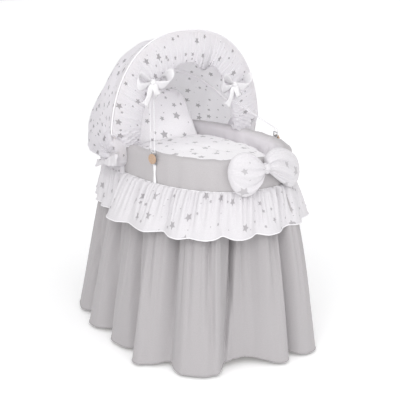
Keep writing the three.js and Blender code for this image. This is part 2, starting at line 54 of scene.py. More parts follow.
OVAL = 2.32
BAND_A, BAND_B, BAND_BOTTOM = 0.420, 0.276, 0.617
TUB_TOP, TUB_INSET, TUB_LEAN, TUB_WALL = 0.688, 0.016, 0.157, 0.010
LINING = 0.021
HEM_A, HEM_B, HEM_POWER, HEM_Z = 0.526, 0.397, 2.39, 0.010
FRILL_A, FRILL_B, FRILL_Z = 0.463, 0.351, 0.476
PIVOT_X, PIVOT_Z, HOOD_POWER = -0.036, 0.689, 2.34
ARCH_WIDTH, ARCH_HEIGHT = 0.332, 0.418
TUCK_DEPTH, TUCK_REACH = 0.028, 0.080
REAR_TILT = math.radians(48)
HOOD_HEM_Z = 0.652
VALANCE_X, VALANCE_WIDTH, VALANCE_HEIGHT, VALANCE_FOOT = -0.027, 0.215, 0.290, 0.726
BOWS = {"left": (-0.168, 0.935), "right": (0.198, 0.898)}
BOW_X = -0.0236
CLIP_X, CLIP_Z, CLIP_TURN = 0.150, 0.703, math.radians(10.1)
CORD_RADIUS = 0.0012
SIDES = {"left": -1, "right": 1}


# ---- Camera, lights and floor ----

CAMERA_PLACE = (2.22818, -1.56044, 1.29104)
CAMERA_RAISED, CAMERA_TURNED = math.radians(16.7), math.radians(54.5)
CAMERA_LENS, CAMERA_SENSOR = 67.035, 36
LAMP_SIZE = 0.8
WALL_GLOW = 0.66
FLOOR_GLOW = 0.19
FLOOR_REACH = 40

# Broad lights of the studio's walls: degrees round, degrees up, and strength. The last is a dark screen.
SOFTBOXES = [(-37, 32, 0.83), (-160, 0, -0.28)]
# Lamps: name, place, where it points, and power.
LAMPS = [("key", (2.8, -0.6, 2.0), (0, 0, 0.55), 5), ("fill", (1.7, -1.7, 1.9), (-0.1, 0, 0.75), 10)]


def link(name, data):
    """A new object in the scene."""
    piece = bpy.data.objects.new(name, data)
    bpy.context.collection.objects.link(piece)
    return piece


def make_camera():
    data = bpy.data.cameras.new("camera")
    data.sensor_width = CAMERA_SENSOR
    data.lens = CAMERA_LENS
    camera = link("camera", data)
    camera.location = CAMERA_PLACE
    camera.rotation_euler = (math.radians(90) - CAMERA_RAISED, 0, CAMERA_TURNED)
    bpy.context.scene.camera = camera


def area_light(name, place, target, power):
    data = bpy.data.lights.new(name, "AREA")
    data.shape = "DISK"
    data.size = LAMP_SIZE
    data.energy = power
    lamp = link(name, data)
    lamp.location = place
    lamp.rotation_euler = (Vector(target) - Vector(place)).to_track_quat("-Z", "Y").to_euler()


def make_walls():
    """The world: an even white glow, with the softboxes and the dark screen on it."""
    world = bpy.data.worlds.new("studio")
    nodes = Nodes(world)
    direction = nodes.add("ShaderNodeTexCoord").outputs["Generated"]
    glow = WALL_GLOW
    for turned, raised, strength in SOFTBOXES:
        turned, raised = math.radians(turned), math.radians(raised)
        level = math.cos(raised)
        softbox = (math.cos(turned) * level, math.sin(turned) * level, math.sin(raised))
        toward = nodes.vector("DOT_PRODUCT", direction, softbox, output="Value")
        glow = nodes.plus(glow, nodes.times(nodes.math("MAXIMUM", toward, 0.0), strength))
    nodes.fill(world.node_tree.nodes["Background"], Color=(1, 1, 1, 1), Strength=glow)
    bpy.context.scene.world = world


def make_floor():
    mesh = bpy.data.meshes.new("floor")
    corners = [(FLOOR_REACH * x, FLOOR_REACH * y, 0) for x, y in ((-1, -1), (1, -1), (1, 1), (-1, 1))]
    mesh.from_pydata(corners, [], [(0, 1, 2, 3)])
    paint = Paint("floor")
    paint.surface(Base_Color=(0.93, 0.93, 0.935, 1), Roughness=0.6)
    paint.surface(Emission_Color=(1, 1, 1, 1), Emission_Strength=FLOOR_GLOW)
    mesh.materials.append(paint.material)
    link("floor", mesh)


def make_studio():
    bpy.context.scene.view_settings.view_transform = "Standard"
    bpy.context.scene.view_settings.look = "None"
    make_walls()
    for lamp in LAMPS:
        area_light(*lamp)
    make_floor()


# ---- Materials ----

class Nodes:
    """Short ways to add nodes to one material or world."""

    def __init__(self, owner):
        owner.use_nodes = True
        self.tree = owner.node_tree

    def set(self, socket, value):
        if isinstance(value, bpy.types.NodeSocket):
            self.tree.links.new(value, socket)
        else:
            socket.default_value = value

    def fill(self, node, **values):
        """Sets sockets by their names, in which _ stands for a space."""
        for name, value in values.items():
            self.set(node.inputs[name.replace("_", " ")], value)

    def add(self, kind, *values, operation=None, **named):
        """A new node: values go to its first sockets in order, and named ones to the sockets they name."""
        node = self.tree.nodes.new(kind)
        if operation:
            node.operation = operation
        for socket, value in zip(node.inputs, values):
            self.set(socket, value)
        self.fill(node, **named)
        return node

    def math(self, operation, *values):
        return self.add("ShaderNodeMath", *values, operation=operation).outputs[0]

    def times(self, a, b):
        return self.math("MULTIPLY", a, b)

    def plus(self, a, b):
        return self.math("ADD", a, b)

    def vector(self, operation, *values, output="Vector"):
        return self.add("ShaderNodeVectorMath", *values, operation=operation).outputs[output]

    def split(self, place):
        return self.add("ShaderNodeSeparateXYZ", Vector=place).outputs

    def mix(self, factor, a, b):
        node = self.tree.nodes.new("ShaderNodeMix")
        node.data_type = "RGBA"
        for socket, value in ((0, factor), (6, a), (7, b)):
            self.set(node.inputs[socket], value)
        return node.outputs[2]

    def ramp(self, value, low, high):
        return self.add("ShaderNodeMapRange", Value=value, From_Min=low, From_Max=high).outputs[0]

    def noise(self, place, scale, detail):
        return self.add("ShaderNodeTexNoise", Vector=place, Scale=scale, Detail=detail).outputs[0]

    def stretched(self, place, scale):
        return self.add("ShaderNodeMapping", Vector=place, Scale=scale).outputs[0]


class Paint(Nodes):
    """A new material and its nodes."""

    def __init__(self, name):
        self.material = bpy.data.materials.new(name)
        super().__init__(self.material)
        self.shader = self.tree.nodes["Principled BSDF"]

    def on_cloth(self):
        """Where a point is on the flat cloth, in metres, from the UV map that every cloth piece has."""
        node = self.tree.nodes.new("ShaderNodeUVMap")
        node.uv_map = "cloth"
        return node.outputs[0]

    def on_piece(self):
        return self.add("ShaderNodeTexCoord").outputs["Object"]

    def surface(self, **values):
        self.fill(self.shader, **values)

    def bump(self, height, strength):
        bump = self.add("ShaderNodeBump", Height=height, Strength=strength, Distance=1.0)
        self.surface(Normal=bump.outputs[0])

    def let_through(self, colour, share):
        """Lets a share of the light come through the cloth."""
        through = self.add("ShaderNodeBsdfTranslucent", Color=colour)
        both = self.add("ShaderNodeMixShader", share, self.shader.outputs[0], through.outputs[0])
        self.fill(self.tree.nodes["Material Output"], Surface=both.outputs[0])


def darker(colour, share):
    return tuple(c * share for c in colour[:3]) + (1,)


def weave_height(nodes, place, pitch):
    """Crossing threads of a plain weave."""
    along = nodes.split(place)
    across, down = (nodes.math("SINE", nodes.times(along[k], 2 * math.pi / pitch)) for k in (0, 1))
    return nodes.times(across, down)


STAR_WAIST = 0.50
STAR_SCATTER = 0.72
FIFTH = 2 * math.pi / 5


def star_mask(nodes, place, cell, sizes, seed):
    """1 inside five-pointed stars scattered one to a cell, where sizes are (share of cells, radius)."""
    moved = nodes.vector("ADD", place, (seed, seed * 0.37, 0))
    voronoi = nodes.tree.nodes.new("ShaderNodeTexVoronoi")
    voronoi.voronoi_dimensions = "2D"
    nodes.fill(voronoi, Vector=moved, Scale=1 / cell, Randomness=STAR_SCATTER)
    away = nodes.vector("SUBTRACT", moved, voronoi.outputs["Position"])
    chance = nodes.add("ShaderNodeSeparateColor", Color=voronoi.outputs["Color"]).outputs
    radius = 0.0
    for share, size in sizes:
        radius = nodes.plus(radius, nodes.times(nodes.math("LESS_THAN", chance[0], share), size))
    length = nodes.vector("LENGTH", away, output="Value")
    reach = nodes.math("DIVIDE", length, nodes.math("MAXIMUM", radius, 1e-5))
    sides = nodes.split(away)
    angle = nodes.math("ARCTAN2", sides[1], sides[0])
    turned = nodes.plus(angle, nodes.times(chance[1], 2 * math.pi))
    folded = nodes.math("PINGPONG", nodes.plus(turned, 20 * FIFTH), FIFTH / 2)
    x = nodes.times(reach, nodes.math("COSINE", folded))
    y = nodes.times(reach, nodes.math("SINE", folded))
    waist_x, waist_y = STAR_WAIST * math.cos(FIFTH / 2), STAR_WAIST * math.sin(FIFTH / 2)
    edge = nodes.plus(nodes.times(nodes.math("SUBTRACT", x, 1), waist_y), nodes.times(y, 1 - waist_x))
    return nodes.ramp(edge, 0.02, -0.02)


STAR_CELL, SPECK_CELL = 0.064, 0.044
STARS = [(0.56, 0.0095), (0.30, 0.0055)]
SPECKS = [(0.60, 0.0030), (0.20, 0.0036)]
THREAD_PITCH, THREAD_HEIGHT, CREASE_HEIGHT = 0.0011, 0.00006, 0.0022
# Where the painted light on the bumper's inside starts along the cloth, and how soft its edge is.
PAINTED_LIGHT_FROM, PAINTED_LIGHT_BLUR = 0.124, 0.03


def cotton(name, colour, stars=None, wrinkle=0.5, thin=0.0, painted_light_lining=None, crowd=1.0):
    """Plain-weave cotton: threads, slubs and soft creases; stars is the print's colour.

    thin is the share of light that comes through, lining a lighter colour painted beyond a distance along
    the cloth as painted light on the bumper's shaded inside, and crowd raises the share of the print's cells
    that hold a star.
    """
    paint = Paint(name)
    place = paint.on_cloth()
    slubs = paint.ramp(paint.noise(place, 260, 3), 0.35, 0.7)
    base = paint.mix(slubs, darker(colour, 0.93), colour)
    if painted_light_lining:
        # Painted light: past a distance along the cloth the colour turns to the lighter lining colour, which
        # brightens the bumper's shaded inside.
        inside = paint.ramp(paint.split(place)[1], PAINTED_LIGHT_FROM, PAINTED_LIGHT_FROM + PAINTED_LIGHT_BLUR)
        base = paint.mix(inside, base, painted_light_lining)
    if stars:
        large = star_mask(paint, place, STAR_CELL, [(share * crowd, size) for share, size in STARS], 3.1)
        small = star_mask(paint, place, SPECK_CELL, SPECKS, 7.7)
        base = paint.mix(paint.times(paint.math("MAXIMUM", large, small), 0.92), base, stars)
    threads = paint.times(weave_height(paint, place, THREAD_PITCH), THREAD_HEIGHT)
    creases = paint.times(paint.noise(place, 26, 4), CREASE_HEIGHT * wrinkle)
    paint.bump(paint.plus(threads, creases), 0.6)
    paint.surface(Base_Color=base, Roughness=0.88)
    paint.surface(Sheen_Weight=0.18, Sheen_Roughness=0.5, Specular_IOR_Level=0.25)
    if thin:
        paint.let_through(base, thin)
    return paint.material


def satin(name, colour):
    paint = Paint(name)
    place = paint.on_cloth()
    soft = paint.noise(place, 60, 2)
    ribs = paint.math("SINE", paint.times(paint.split(place)[1], 2 * math.pi / 0.0008))
    paint.bump(paint.plus(paint.times(ribs, 0.00002), paint.times(soft, 0.0008)), 0.5)
    paint.surface(Base_Color=paint.mix(soft, darker(colour, 0.95), colour))
    paint.surface(Roughness=0.34, Anisotropic=0.5, Sheen_Weight=0.3)
    return paint.material


def wood(name, dark, light, ring_scale, roughness):
    """Straight grain that runs along X, with pores and a satin lacquer."""
    paint = Paint(name)
    place = paint.on_piece()
    grain = paint.noise(paint.stretched(place, (1.2, 9, 9)), ring_scale, 6)
    pores = paint.noise(paint.stretched(place, (8, 160, 160)), 6, 3)
    tone = paint.plus(paint.times(grain, 0.75), paint.times(pores, 0.3))
    paint.bump(paint.times(pores, 0.0004), 0.5)
    paint.surface(Base_Color=paint.mix(paint.ramp(tone, 0.38, 0.72), dark, light))
    paint.surface(Roughness=paint.plus(paint.times(pores, 0.12), roughness))
    return paint.material


def woven(name, dark, light):
    """Willow strands woven over and under upright stakes round the tub, from the tub's own axes."""
    paint = Paint(name)
    place = paint.on_piece()
    sides = paint.split(place)
    stakes = paint.times(paint.math("ARCTAN2", sides[1], sides[0]), 34.0)
    level = paint.math("DIVIDE", sides[2], 0.0065)
    row = paint.math("FLOOR", level)
    strand = paint.math("SINE", paint.times(paint.math("SUBTRACT", level, row), math.pi))
    over = paint.math("SINE", paint.plus(stakes, paint.times(row, math.pi)))
    height = paint.times(paint.plus(paint.times(over, 0.5), 0.7), strand)
    # Painted shade: the strands' colour darkens with their height, at the gaps between rows and where a
    # strand passes under a stake, mixed with random tone.
    tone = paint.plus(paint.times(paint.noise(place, 60, 4), 0.4), paint.times(height, 0.6))
    paint.bump(paint.times(height, 0.002), 0.8)
    paint.surface(Base_Color=paint.mix(paint.ramp(tone, 0.15, 0.8), dark, light), Roughness=0.5)
    return paint.material


def plain(name, colour, roughness, metallic=0.0, speck=900.0, depth=0.00008):
    """Metal, plastic or rubber: a small variation of tone and a fine surface."""
    paint = Paint(name)
    place = paint.on_piece()
    broad = paint.noise(place, 30, 3)
    paint.bump(paint.times(paint.noise(place, speck, 2), depth), 0.5)
    paint.surface(Base_Color=paint.mix(broad, darker(colour, 0.86), colour), Metallic=metallic)
    paint.surface(Roughness=paint.plus(paint.times(broad, 0.14), roughness - 0.07))
    return paint.material


GREY = (0.475, 0.455, 0.465, 1)
# A darker copy of the band's grey cotton: painted shade on the skirt.
PAINTED_SHADE_SKIRT_GREY = (0.425, 0.407, 0.416, 1)
# A lighter copy of the bumper's grey: painted light on the bumper's shaded inside.
PAINTED_LIGHT_LINING_GREY = (0.76, 0.735, 0.76, 1)
WHITE = (0.665, 0.648, 0.67, 1)
# A brighter copy of the white cloth: painted light on the pillow and the rear hoop's casing in the shade
# under the hood.
PAINTED_LIGHT_BED_WHITE = (0.94, 0.925, 0.945, 1)
# A brighter copy of the white cloth: painted light on the duvet in the shade of the tub and the hood.
PAINTED_LIGHT_DUVET_WHITE = (0.86, 0.845, 0.865, 1)
HOOD_WHITE = (0.95, 0.935, 0.96, 1)
TRIM_WHITE = (0.84, 0.83, 0.85, 1)
SATIN_WHITE = (0.86, 0.85, 0.865, 1)
INK = (0.36, 0.345, 0.36, 1)
PALE_INK = (0.45, 0.435, 0.45, 1)
LIGHT_WILLOW = (0.62, 0.42, 0.21, 1)

skirt_cotton_painted_shade = cotton("skirt_cotton_painted_shade", PAINTED_SHADE_SKIRT_GREY)
bumper_cotton_painted_light = cotton("bumper_cotton_painted_light", GREY, painted_light_lining=PAINTED_LIGHT_LINING_GREY)
bed_cotton_painted_light = cotton("bed_cotton_painted_light", PAINTED_LIGHT_BED_WHITE, stars=PALE_INK, wrinkle=0.35, crowd=1.2)
duvet_cotton_painted_light = cotton("duvet_cotton_painted_light", PAINTED_LIGHT_DUVET_WHITE, stars=PALE_INK, wrinkle=0.35, crowd=1.6)
star_cotton = cotton("star_cotton", WHITE, stars=INK)
bow_cotton = cotton("bow_cotton", WHITE, stars=PALE_INK, crowd=1.7)
hood_cotton = cotton("hood_cotton", HOOD_WHITE, stars=PALE_INK, thin=0.54, crowd=1.25)
white_cotton = cotton("white_cotton", TRIM_WHITE, wrinkle=0.2)
ribbon_satin = satin("satin", SATIN_WHITE)
beech = wood("beech", (0.44, 0.27, 0.13, 1), (0.68, 0.47, 0.27, 1), 5, 0.42)
disc_wood = wood("disc_wood", (0.40, 0.27, 0.185, 1), (0.55, 0.40, 0.29, 1), 60, 0.5)
willow = wood("willow", (0.36, 0.21, 0.09, 1), LIGHT_WILLOW, 40, 0.5)
wicker = woven("wicker", (0.30, 0.17, 0.07, 1), LIGHT_WILLOW)
nickel = plain("steel", (0.62, 0.63, 0.65, 1), 0.28, metallic=1.0)
castor_plastic = plain("castor_plastic", (0.06, 0.06, 0.07, 1), 0.5)
tread = plain("tread", (0.26, 0.27, 0.28, 1), 0.75, speck=500, depth=0.0002)


# ---- Mesh helpers ----

def finish_piece(piece, body, slot_name, *nodes):
    """Rides a piece on its body and hides the CAD nodes that it stands for; slot_name is not used."""
    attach(piece, body)
    if nodes:
        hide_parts(*nodes)


def smooth_all(mesh):
    mesh.polygons.foreach_set("use_smooth", np.ones(len(mesh.polygons), bool))


def put(name, points, faces, material, cloth=None):
    """A smooth mesh object; cloth is one flat-cloth position for each face corner, in metres."""
    mesh = bpy.data.meshes.new(name)
    mesh.from_pydata(np.asarray(points, float).reshape(-1, 3).tolist(), [], faces)
    mesh.materials.append(material)
    if cloth is not None:
        layer = mesh.uv_layers.new(name="cloth")
        layer.data.foreach_set("uv", np.asarray(cloth, np.float32).ravel())
    smooth_all(mesh)
    mesh.update()
    return link(name, mesh)


def grid_faces(rows, columns, round_rows=False, round_columns=False):
    """Quads of a grid of points, as (row, column) steps that may run one past the last when round."""
    quads = []
    for r in range(rows if round_rows else rows - 1):
        for c in range(columns if round_columns else columns - 1):
            quads.append(((r, c), (r, c + 1), (r + 1, c + 1), (r + 1, c)))
    return quads


def put_grid(name, grid, cloth, material, round_rows=False, round_columns=False, capped=False):
    """A mesh from points[row, column]; cloth[row, column] has one more step on a side that goes round.

    capped closes the first and the last row with a face each.
    """
    grid = np.asarray(grid)
    rows, columns = grid.shape[:2]
    quads = grid_faces(rows, columns, round_rows, round_columns)
    faces = [[(r % rows) * columns + c % columns for r, c in quad] for quad in quads]
    corners = [] if cloth is None else [cloth[r, c] for quad in quads for r, c in quad]
    if capped:
        faces += [list(range(columns))[::-1], list(range((rows - 1) * columns, rows * columns))]
        corners += [(0, 0)] * 2 * columns
    return put(name, grid, faces, material, None if cloth is None else corners)


def flat_grid(wide, tall):
    """Flat-cloth positions from distances along the columns and down the rows."""
    return np.stack(np.meshgrid(wide, tall), axis=-1)


def smooth_step(value, low=0.0, high=1.0):
    share = np.clip((value - low) / (high - low), 0, 1)
    return share * share * (3 - 2 * share)


def hump(value, middle, width, power=2):
    """1 at the middle, falling off on both sides."""
    return np.exp(-((value - middle) / width) ** power)


def unit(vectors):
    return vectors / np.maximum(np.linalg.norm(vectors, axis=-1, keepdims=True), 1e-9)


def signed_power(value, power):
    return np.sign(value) * np.abs(value) ** power


def oval(a, b, angle, power=OVAL):
    across, along = signed_power(np.cos(angle), 2 / power), signed_power(np.sin(angle), 2 / power)
    return np.stack([a * across, b * along], -1)


def oval_outward(a, b, angle, power=OVAL):
    across, along = signed_power(np.cos(angle), 2 - 2 / power), signed_power(np.sin(angle), 2 - 2 / power)
    return unit(np.stack([across / a, along / b], -1))


def oval_side(along, a, b):
    """How far the band's oval reaches on its b axis, at a distance along its a axis."""
    return b * np.maximum(0, 1 - np.abs(along / a) ** OVAL) ** (1 / OVAL)


def even_angles(a, b, count, power=OVAL):
    """Angles whose points on the oval are the same distance apart, and the distance round it."""
    fine = np.linspace(-math.pi, math.pi, 4001)
    run = run_of(oval(a, b, fine, power))
    return np.interp(np.arange(count) / count * run[-1], run, fine), run[-1]


def once_round(count):
    """Evenly spaced angles once round."""
    return np.arange(count) / count * 2 * math.pi


def run_of(points):
    """Distance along a line of points."""
    return np.concatenate([[0], np.cumsum(np.linalg.norm(np.diff(points, axis=0), axis=1))])


def run_round(points):
    """Distance round a closed line of points, back to its start."""
    return run_of(np.vstack([points, points[:1]]))


def row_lengths(grid):
    return np.linalg.norm(np.diff(grid, axis=1), axis=2).sum(1)


def column_lengths(grid):
    return row_lengths(grid.swapaxes(0, 1))


def pleats(at, count, seed, uneven=0.5, narrow=1.0):
    """Uneven gathers round a closed edge: at is 0 to 1 round it; narrow below 1 makes the valleys narrow."""
    random = np.random.default_rng(seed)
    widths = 1 + uneven * random.uniform(-1, 1, count)
    edges = np.concatenate([[0], np.cumsum(widths)]) / widths.sum()
    heights = random.uniform(0.4, 1, count)
    phase = np.interp(at % 1, edges, np.arange(count + 1))
    low = np.floor(phase).astype(int) % count
    share = smooth_step(phase - np.floor(phase))
    height = heights[low] * (1 - share) + heights[(low + 1) % count] * share
    wave = 0.5 + 0.5 * np.cos(2 * math.pi * phase)
    return height * (2 * wave ** narrow - 1)


def through(points, angle, soften):
    """A smooth closed curve of height over degrees, through given (degrees, height) points."""
    degrees, heights = zip(*sorted(points))
    fine = np.arange(0, 360, 0.25)
    wave = np.interp(fine, degrees, heights, period=360)
    kernel = np.exp(-0.5 * (np.minimum(fine, 360 - fine) / soften) ** 2)
    wave = np.real(np.fft.ifft(np.fft.fft(wave) * np.fft.fft(kernel / kernel.sum())))
    return np.interp(np.degrees(angle) % 360, fine, wave, period=360)


def ripple(points, size, seed, amount):
    """Smooth noise of a surface's own points, for soft uneven cloth."""
    random = np.random.default_rng(seed)
    total = np.zeros(len(points))
    for octave in range(1, 4):
        for _ in range(5):
            direction = random.normal(size=3)
            direction *= octave * 2 * math.pi / size / np.linalg.norm(direction)
            total += np.sin(points @ direction + random.uniform(0, 6.28)) / octave
    return amount * total / 4


def tube(name, path, radius, material, sides=10, closed=False):
    """A round tube along a path, with flat-cloth positions for its weave."""
    path = np.asarray(path, float)
    ahead = unit(np.roll(path, -1, 0) - np.roll(path, 1, 0) if closed else np.gradient(path, axis=0))
    across = np.cross(ahead[0], (0.31, 0.17, 0.93))
    turn = once_round(sides)
    rings = []
    for point, along in zip(path, ahead):
        across = unit(across - along * across.dot(along))
        other = np.cross(along, across)
        rings.append(point + radius * (np.outer(np.cos(turn), across) + np.outer(np.sin(turn), other)))
    wide = np.arange(sides + 1) / sides * 2 * math.pi * radius
    cloth = flat_grid(wide, run_round(path) if closed else run_of(path))
    return put_grid(name, rings, cloth, material, closed, True, capped=not closed)


def spline(points, count):
    """Evenly spaced points of a smooth curve through the given ones."""
    points = np.asarray(points, float)
    padded = np.vstack([2 * points[0] - points[1], points, 2 * points[-1] - points[-2]])
    fine = []
    for i in range(1, len(padded) - 2):
        a, b, c, d = padded[i - 1 : i + 3]
        tb, tc, td = np.cumsum([np.linalg.norm(step) ** 0.5 for step in (b - a, c - b, d - c)])
        for t in np.linspace(tb, tc, 24, endpoint=False):
            ab = (tb - t) / tb * a + t / tb * b
            bc = (tc - t) / (tc - tb) * b + (t - tb) / (tc - tb) * c
            cd = (td - t) / (td - tc) * c + (t - tc) / (td - tc) * d
            abc = (tc - t) / tc * ab + t / tc * bc
            bcd = (td - t) / (td - tb) * bc + (t - tb) / (td - tb) * cd
            fine.append((tc - t) / (tc - tb) * abc + (t - tb) / (tc - tb) * bcd)
    fine = np.array([*fine, points[-1]])
    run = run_of(fine)
    at = np.linspace(0, run[-1], count)
    return np.stack([np.interp(at, run, fine[:, k]) for k in range(3)], -1)


PUFF_FRAMES = 20


def inflate(piece, pressure, cap, voxel):
    """Puffs a closed piece with a cloth simulation and keeps its result in the mesh."""
    shaped = piece.modifiers.new("even", "REMESH")
    shaped.mode = "VOXEL"
    shaped.voxel_size = voxel
    settle(piece)
    start = coordinates(piece.data)
    cloth = piece.modifiers.new("cloth", "CLOTH")
    cloth.settings.quality = 4
    cloth.settings.mass = 0.2
    cloth.settings.tension_stiffness = 12
    cloth.settings.compression_stiffness = 12
    cloth.settings.bending_stiffness = 0.4
    cloth.settings.use_pressure = True
    cloth.settings.uniform_pressure_force = pressure
    cloth.settings.effector_weights.gravity = 0
    cloth.collision_settings.use_collision = False
    cloth.point_cache.frame_start = 1
    cloth.point_cache.frame_end = PUFF_FRAMES
    for step in range(1, PUFF_FRAMES + 1):
        bpy.context.scene.frame_set(step)
    settle(piece)
    moved = coordinates(piece.data) - start
    length = np.linalg.norm(moved, axis=1, keepdims=True)
    moved *= np.minimum(1, cap / np.maximum(length, 1e-9))
    piece.data.vertices.foreach_set("co", (start + moved).astype(np.float32).ravel())
    bpy.context.scene.frame_set(1)


def settle(piece):
    """Replaces a piece's mesh with what its modifiers make of it."""
    materials = list(piece.data.materials)
    shown = piece.evaluated_get(bpy.context.evaluated_depsgraph_get())
    mesh = bpy.data.meshes.new_from_object(shown)
    piece.modifiers.clear()
    piece.data = mesh
    mesh.materials.clear()
    for material in materials:
        mesh.materials.append(material)
    smooth_all(mesh)


def thicken(piece, thickness):
    """Gives thin cloth two faces, so that both sides of it show."""
    thick = piece.modifiers.new("thick", "SOLIDIFY")
    thick.thickness = thickness
    thick.offset = 0


def coordinates(mesh):
    flat = np.empty(len(mesh.vertices) * 3, np.float32)
    mesh.vertices.foreach_get("co", flat)
    return flat.reshape(-1, 3).astype(float)


def move_points(piece, points):
    piece.data.vertices.foreach_set("co", np.asarray(points, np.float32).ravel())
    piece.data.update()


def lay_print(piece, across, down, shift=(0, 0)):
    """Projects the flat cloth on a stuffed piece along the two given directions."""
    mesh = piece.data
    layer = mesh.uv_layers.new(name="cloth")
    loops = np.empty(len(mesh.loops), np.int32)
    mesh.loops.foreach_get("vertex_index", loops)
    points = coordinates(mesh)
    flat = np.stack([points @ np.array(across), points @ np.array(down)], -1) + shift
    layer.data.foreach_set("uv", flat[loops].astype(np.float32).ravel())


# ---- Hood cords: one loop each, from the bow's knot through the clip's slot and back ----

KNOT_APART, KNOT_DROP = 0.008, 0.060
CORD_FRONT = 0.0045
CORD_POINTS = 160

# Half of the cord's turn through the clip's slot, in millimetres: along the band, out from it and up.
SLOT_TURN = [(9.2, 8.6, 38), (9.2, 8.4, 31), (9, 7.6, 25.5), (7.8, 5, 22.4), (5.2, 2.2, 21.6)]
SLOT_MIDDLE = (0, 1.9, 21.5)


def clip_frame_of(side):
    """The clip's middle on the band, and the directions along the band and out from it."""
    along = np.array([math.cos(CLIP_TURN), -side * math.sin(CLIP_TURN), 0])
    outward = np.array([math.sin(CLIP_TURN), side * math.cos(CLIP_TURN), 0])
    return np.array([CLIP_X, side * oval_side(CLIP_X, BAND_A, BAND_B), CLIP_Z]), along, outward


def cord_route(side, bow_y, bow_z):
    middle, along, outward = clip_frame_of(side)

    def slot(x, out, up):
        return middle + MM * (x * along + out * outward + up * np.array([0, 0, 1]))

    def strand(hand):
        high = np.array([BOW_X + CORD_FRONT, bow_y + hand * KNOT_APART, bow_z - KNOT_DROP])
        turns = [slot(hand * x, out, up) for x, out, up in SLOT_TURN]
        return [high + (turns[0] - high) * share for share in (0, 0.15, 0.4, 0.7)] + turns

    return np.array([*strand(-1), slot(*SLOT_MIDDLE), *strand(1)[::-1]])


def make_cords():
    for name, side in SIDES.items():
        route = spline(cord_route(side, *BOWS[name]), CORD_POINTS)
        cord = tube(f"cord_{name}", route, CORD_RADIUS, white_cotton, sides=8)
        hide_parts(f"hood_cord_{name}")
        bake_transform(cord)


# ---- Skirt and frill ----

# Folds of the skirt's hem: degrees round from the foot end, and millimetres out from the hem's oval.
HEM_FOLDS = [
    (-170, -8), (-162, -40), (-153, 8), (-143, -36), (-133, 6), (-125, 0), (-119, -2), (-115, -24),
    (-111.5, -50), (-108, -18), (-103, 0), (-98.5, -6), (-95.6, -26), (-92.5, -44), (-89, -6), (-83, -12),
    (-77, -28), (-72, 28), (-68, 30), (-64.7, 4), (-59.5, -36), (-54, -14), (-49, 8), (-40, 4), (-32, -2),
    (-29.5, -16), (-26.5, -66), (-21, -84), (-12, -88), (-7, -74), (-3, -44), (-1, -12), (0.5, -2),
    (4, -8), (8, -50), (11.5, -12), (15, 6), (20, 16), (25, 8), (31, -20), (38, -46), (46, -30),
    (56, -44), (66, 12), (77, -40), (88, 8), (98, -30), (108, 10), (120, -44), (131, 6), (142, -32),
    (151, 8), (165, -36), (177, 6),
]

# Narrow creases of the skirt: degrees round at the frill, degrees at the hem, and depth in millimetres.
CREASES = [
    (-121, -108, 34), (-98, -92, 44), (-83, -77, 46), (-70, -66, 18), (-58, -57, 34), (-37, -33, 22),
    (-20, -28, 44), (2, -1, 30), (9.5, 8, 34), (23, 25, 18),
]
CREASES += [(at, at + 3, 18 + at % 11) for at in range(38, 240, 17)]
CREASE_WIDTH = 2.1

# Folds of the frill's hem, in the way of the skirt's.
FRILL_FOLDS = [
    (-172, 4), (-165, -10), (-157, 8), (-149, -16), (-142, -8), (-136, -30), (-130, -16), (-125, -30),
    (-119, -16), (-114, -34), (-108, -20), (-103, -36), (-98, -28), (-95.5, -24), (-91.5, 16), (-86, 14),
    (-81, -4), (-74, 8), (-69, 14), (-64, 0), (-60, -12), (-55, 10), (-50, 16), (-45, 2), (-41, 8),
    (-36, 12), (-31, 4), (-27, -16), (-22, 8), (-17, 12), (-12, 4), (-8, -12), (-3, 10), (2, 8), (6, -8),
    (11, -12), (16, 2), (21, 4), (26, -8), (32, 0), (39, 6), (46, -10), (54, 10), (62, -10), (70, 12),
    (79, -12), (88, 10), (97, -10), (106, 12), (115, -12), (124, 8), (133, -10), (143, 12), (152, -8),
    (161, 10), (172, -8),
]


def creased(angle, share):
    """How far the skirt's narrow creases go in at a level."""
    total = np.zeros(len(angle))
    for upper, lower, depth in CREASES:
        at = upper + (lower - upper) * smooth_step(share, 0.25, 1.1)
        away = (np.degrees(angle) - at + 180) % 360 - 180
        total += depth * hump(away, 0, CREASE_WIDTH)
    return total * smooth_step(share, -0.05, 0.25) * (1 - 0.60 * share) * MM


def hanging_row(top, foot, angle, share, depth, height):
    """One row of a flared tube of cloth: a share of the way between two ovals, and depth out from there."""
    upper = oval(*top, angle)
    lower = oval(foot[0], foot[1], angle, foot[2])
    out = oval_outward(foot[0], foot[1], angle, foot[2])
    return np.column_stack([upper + (lower - upper) * share + out * depth[:, None], height])


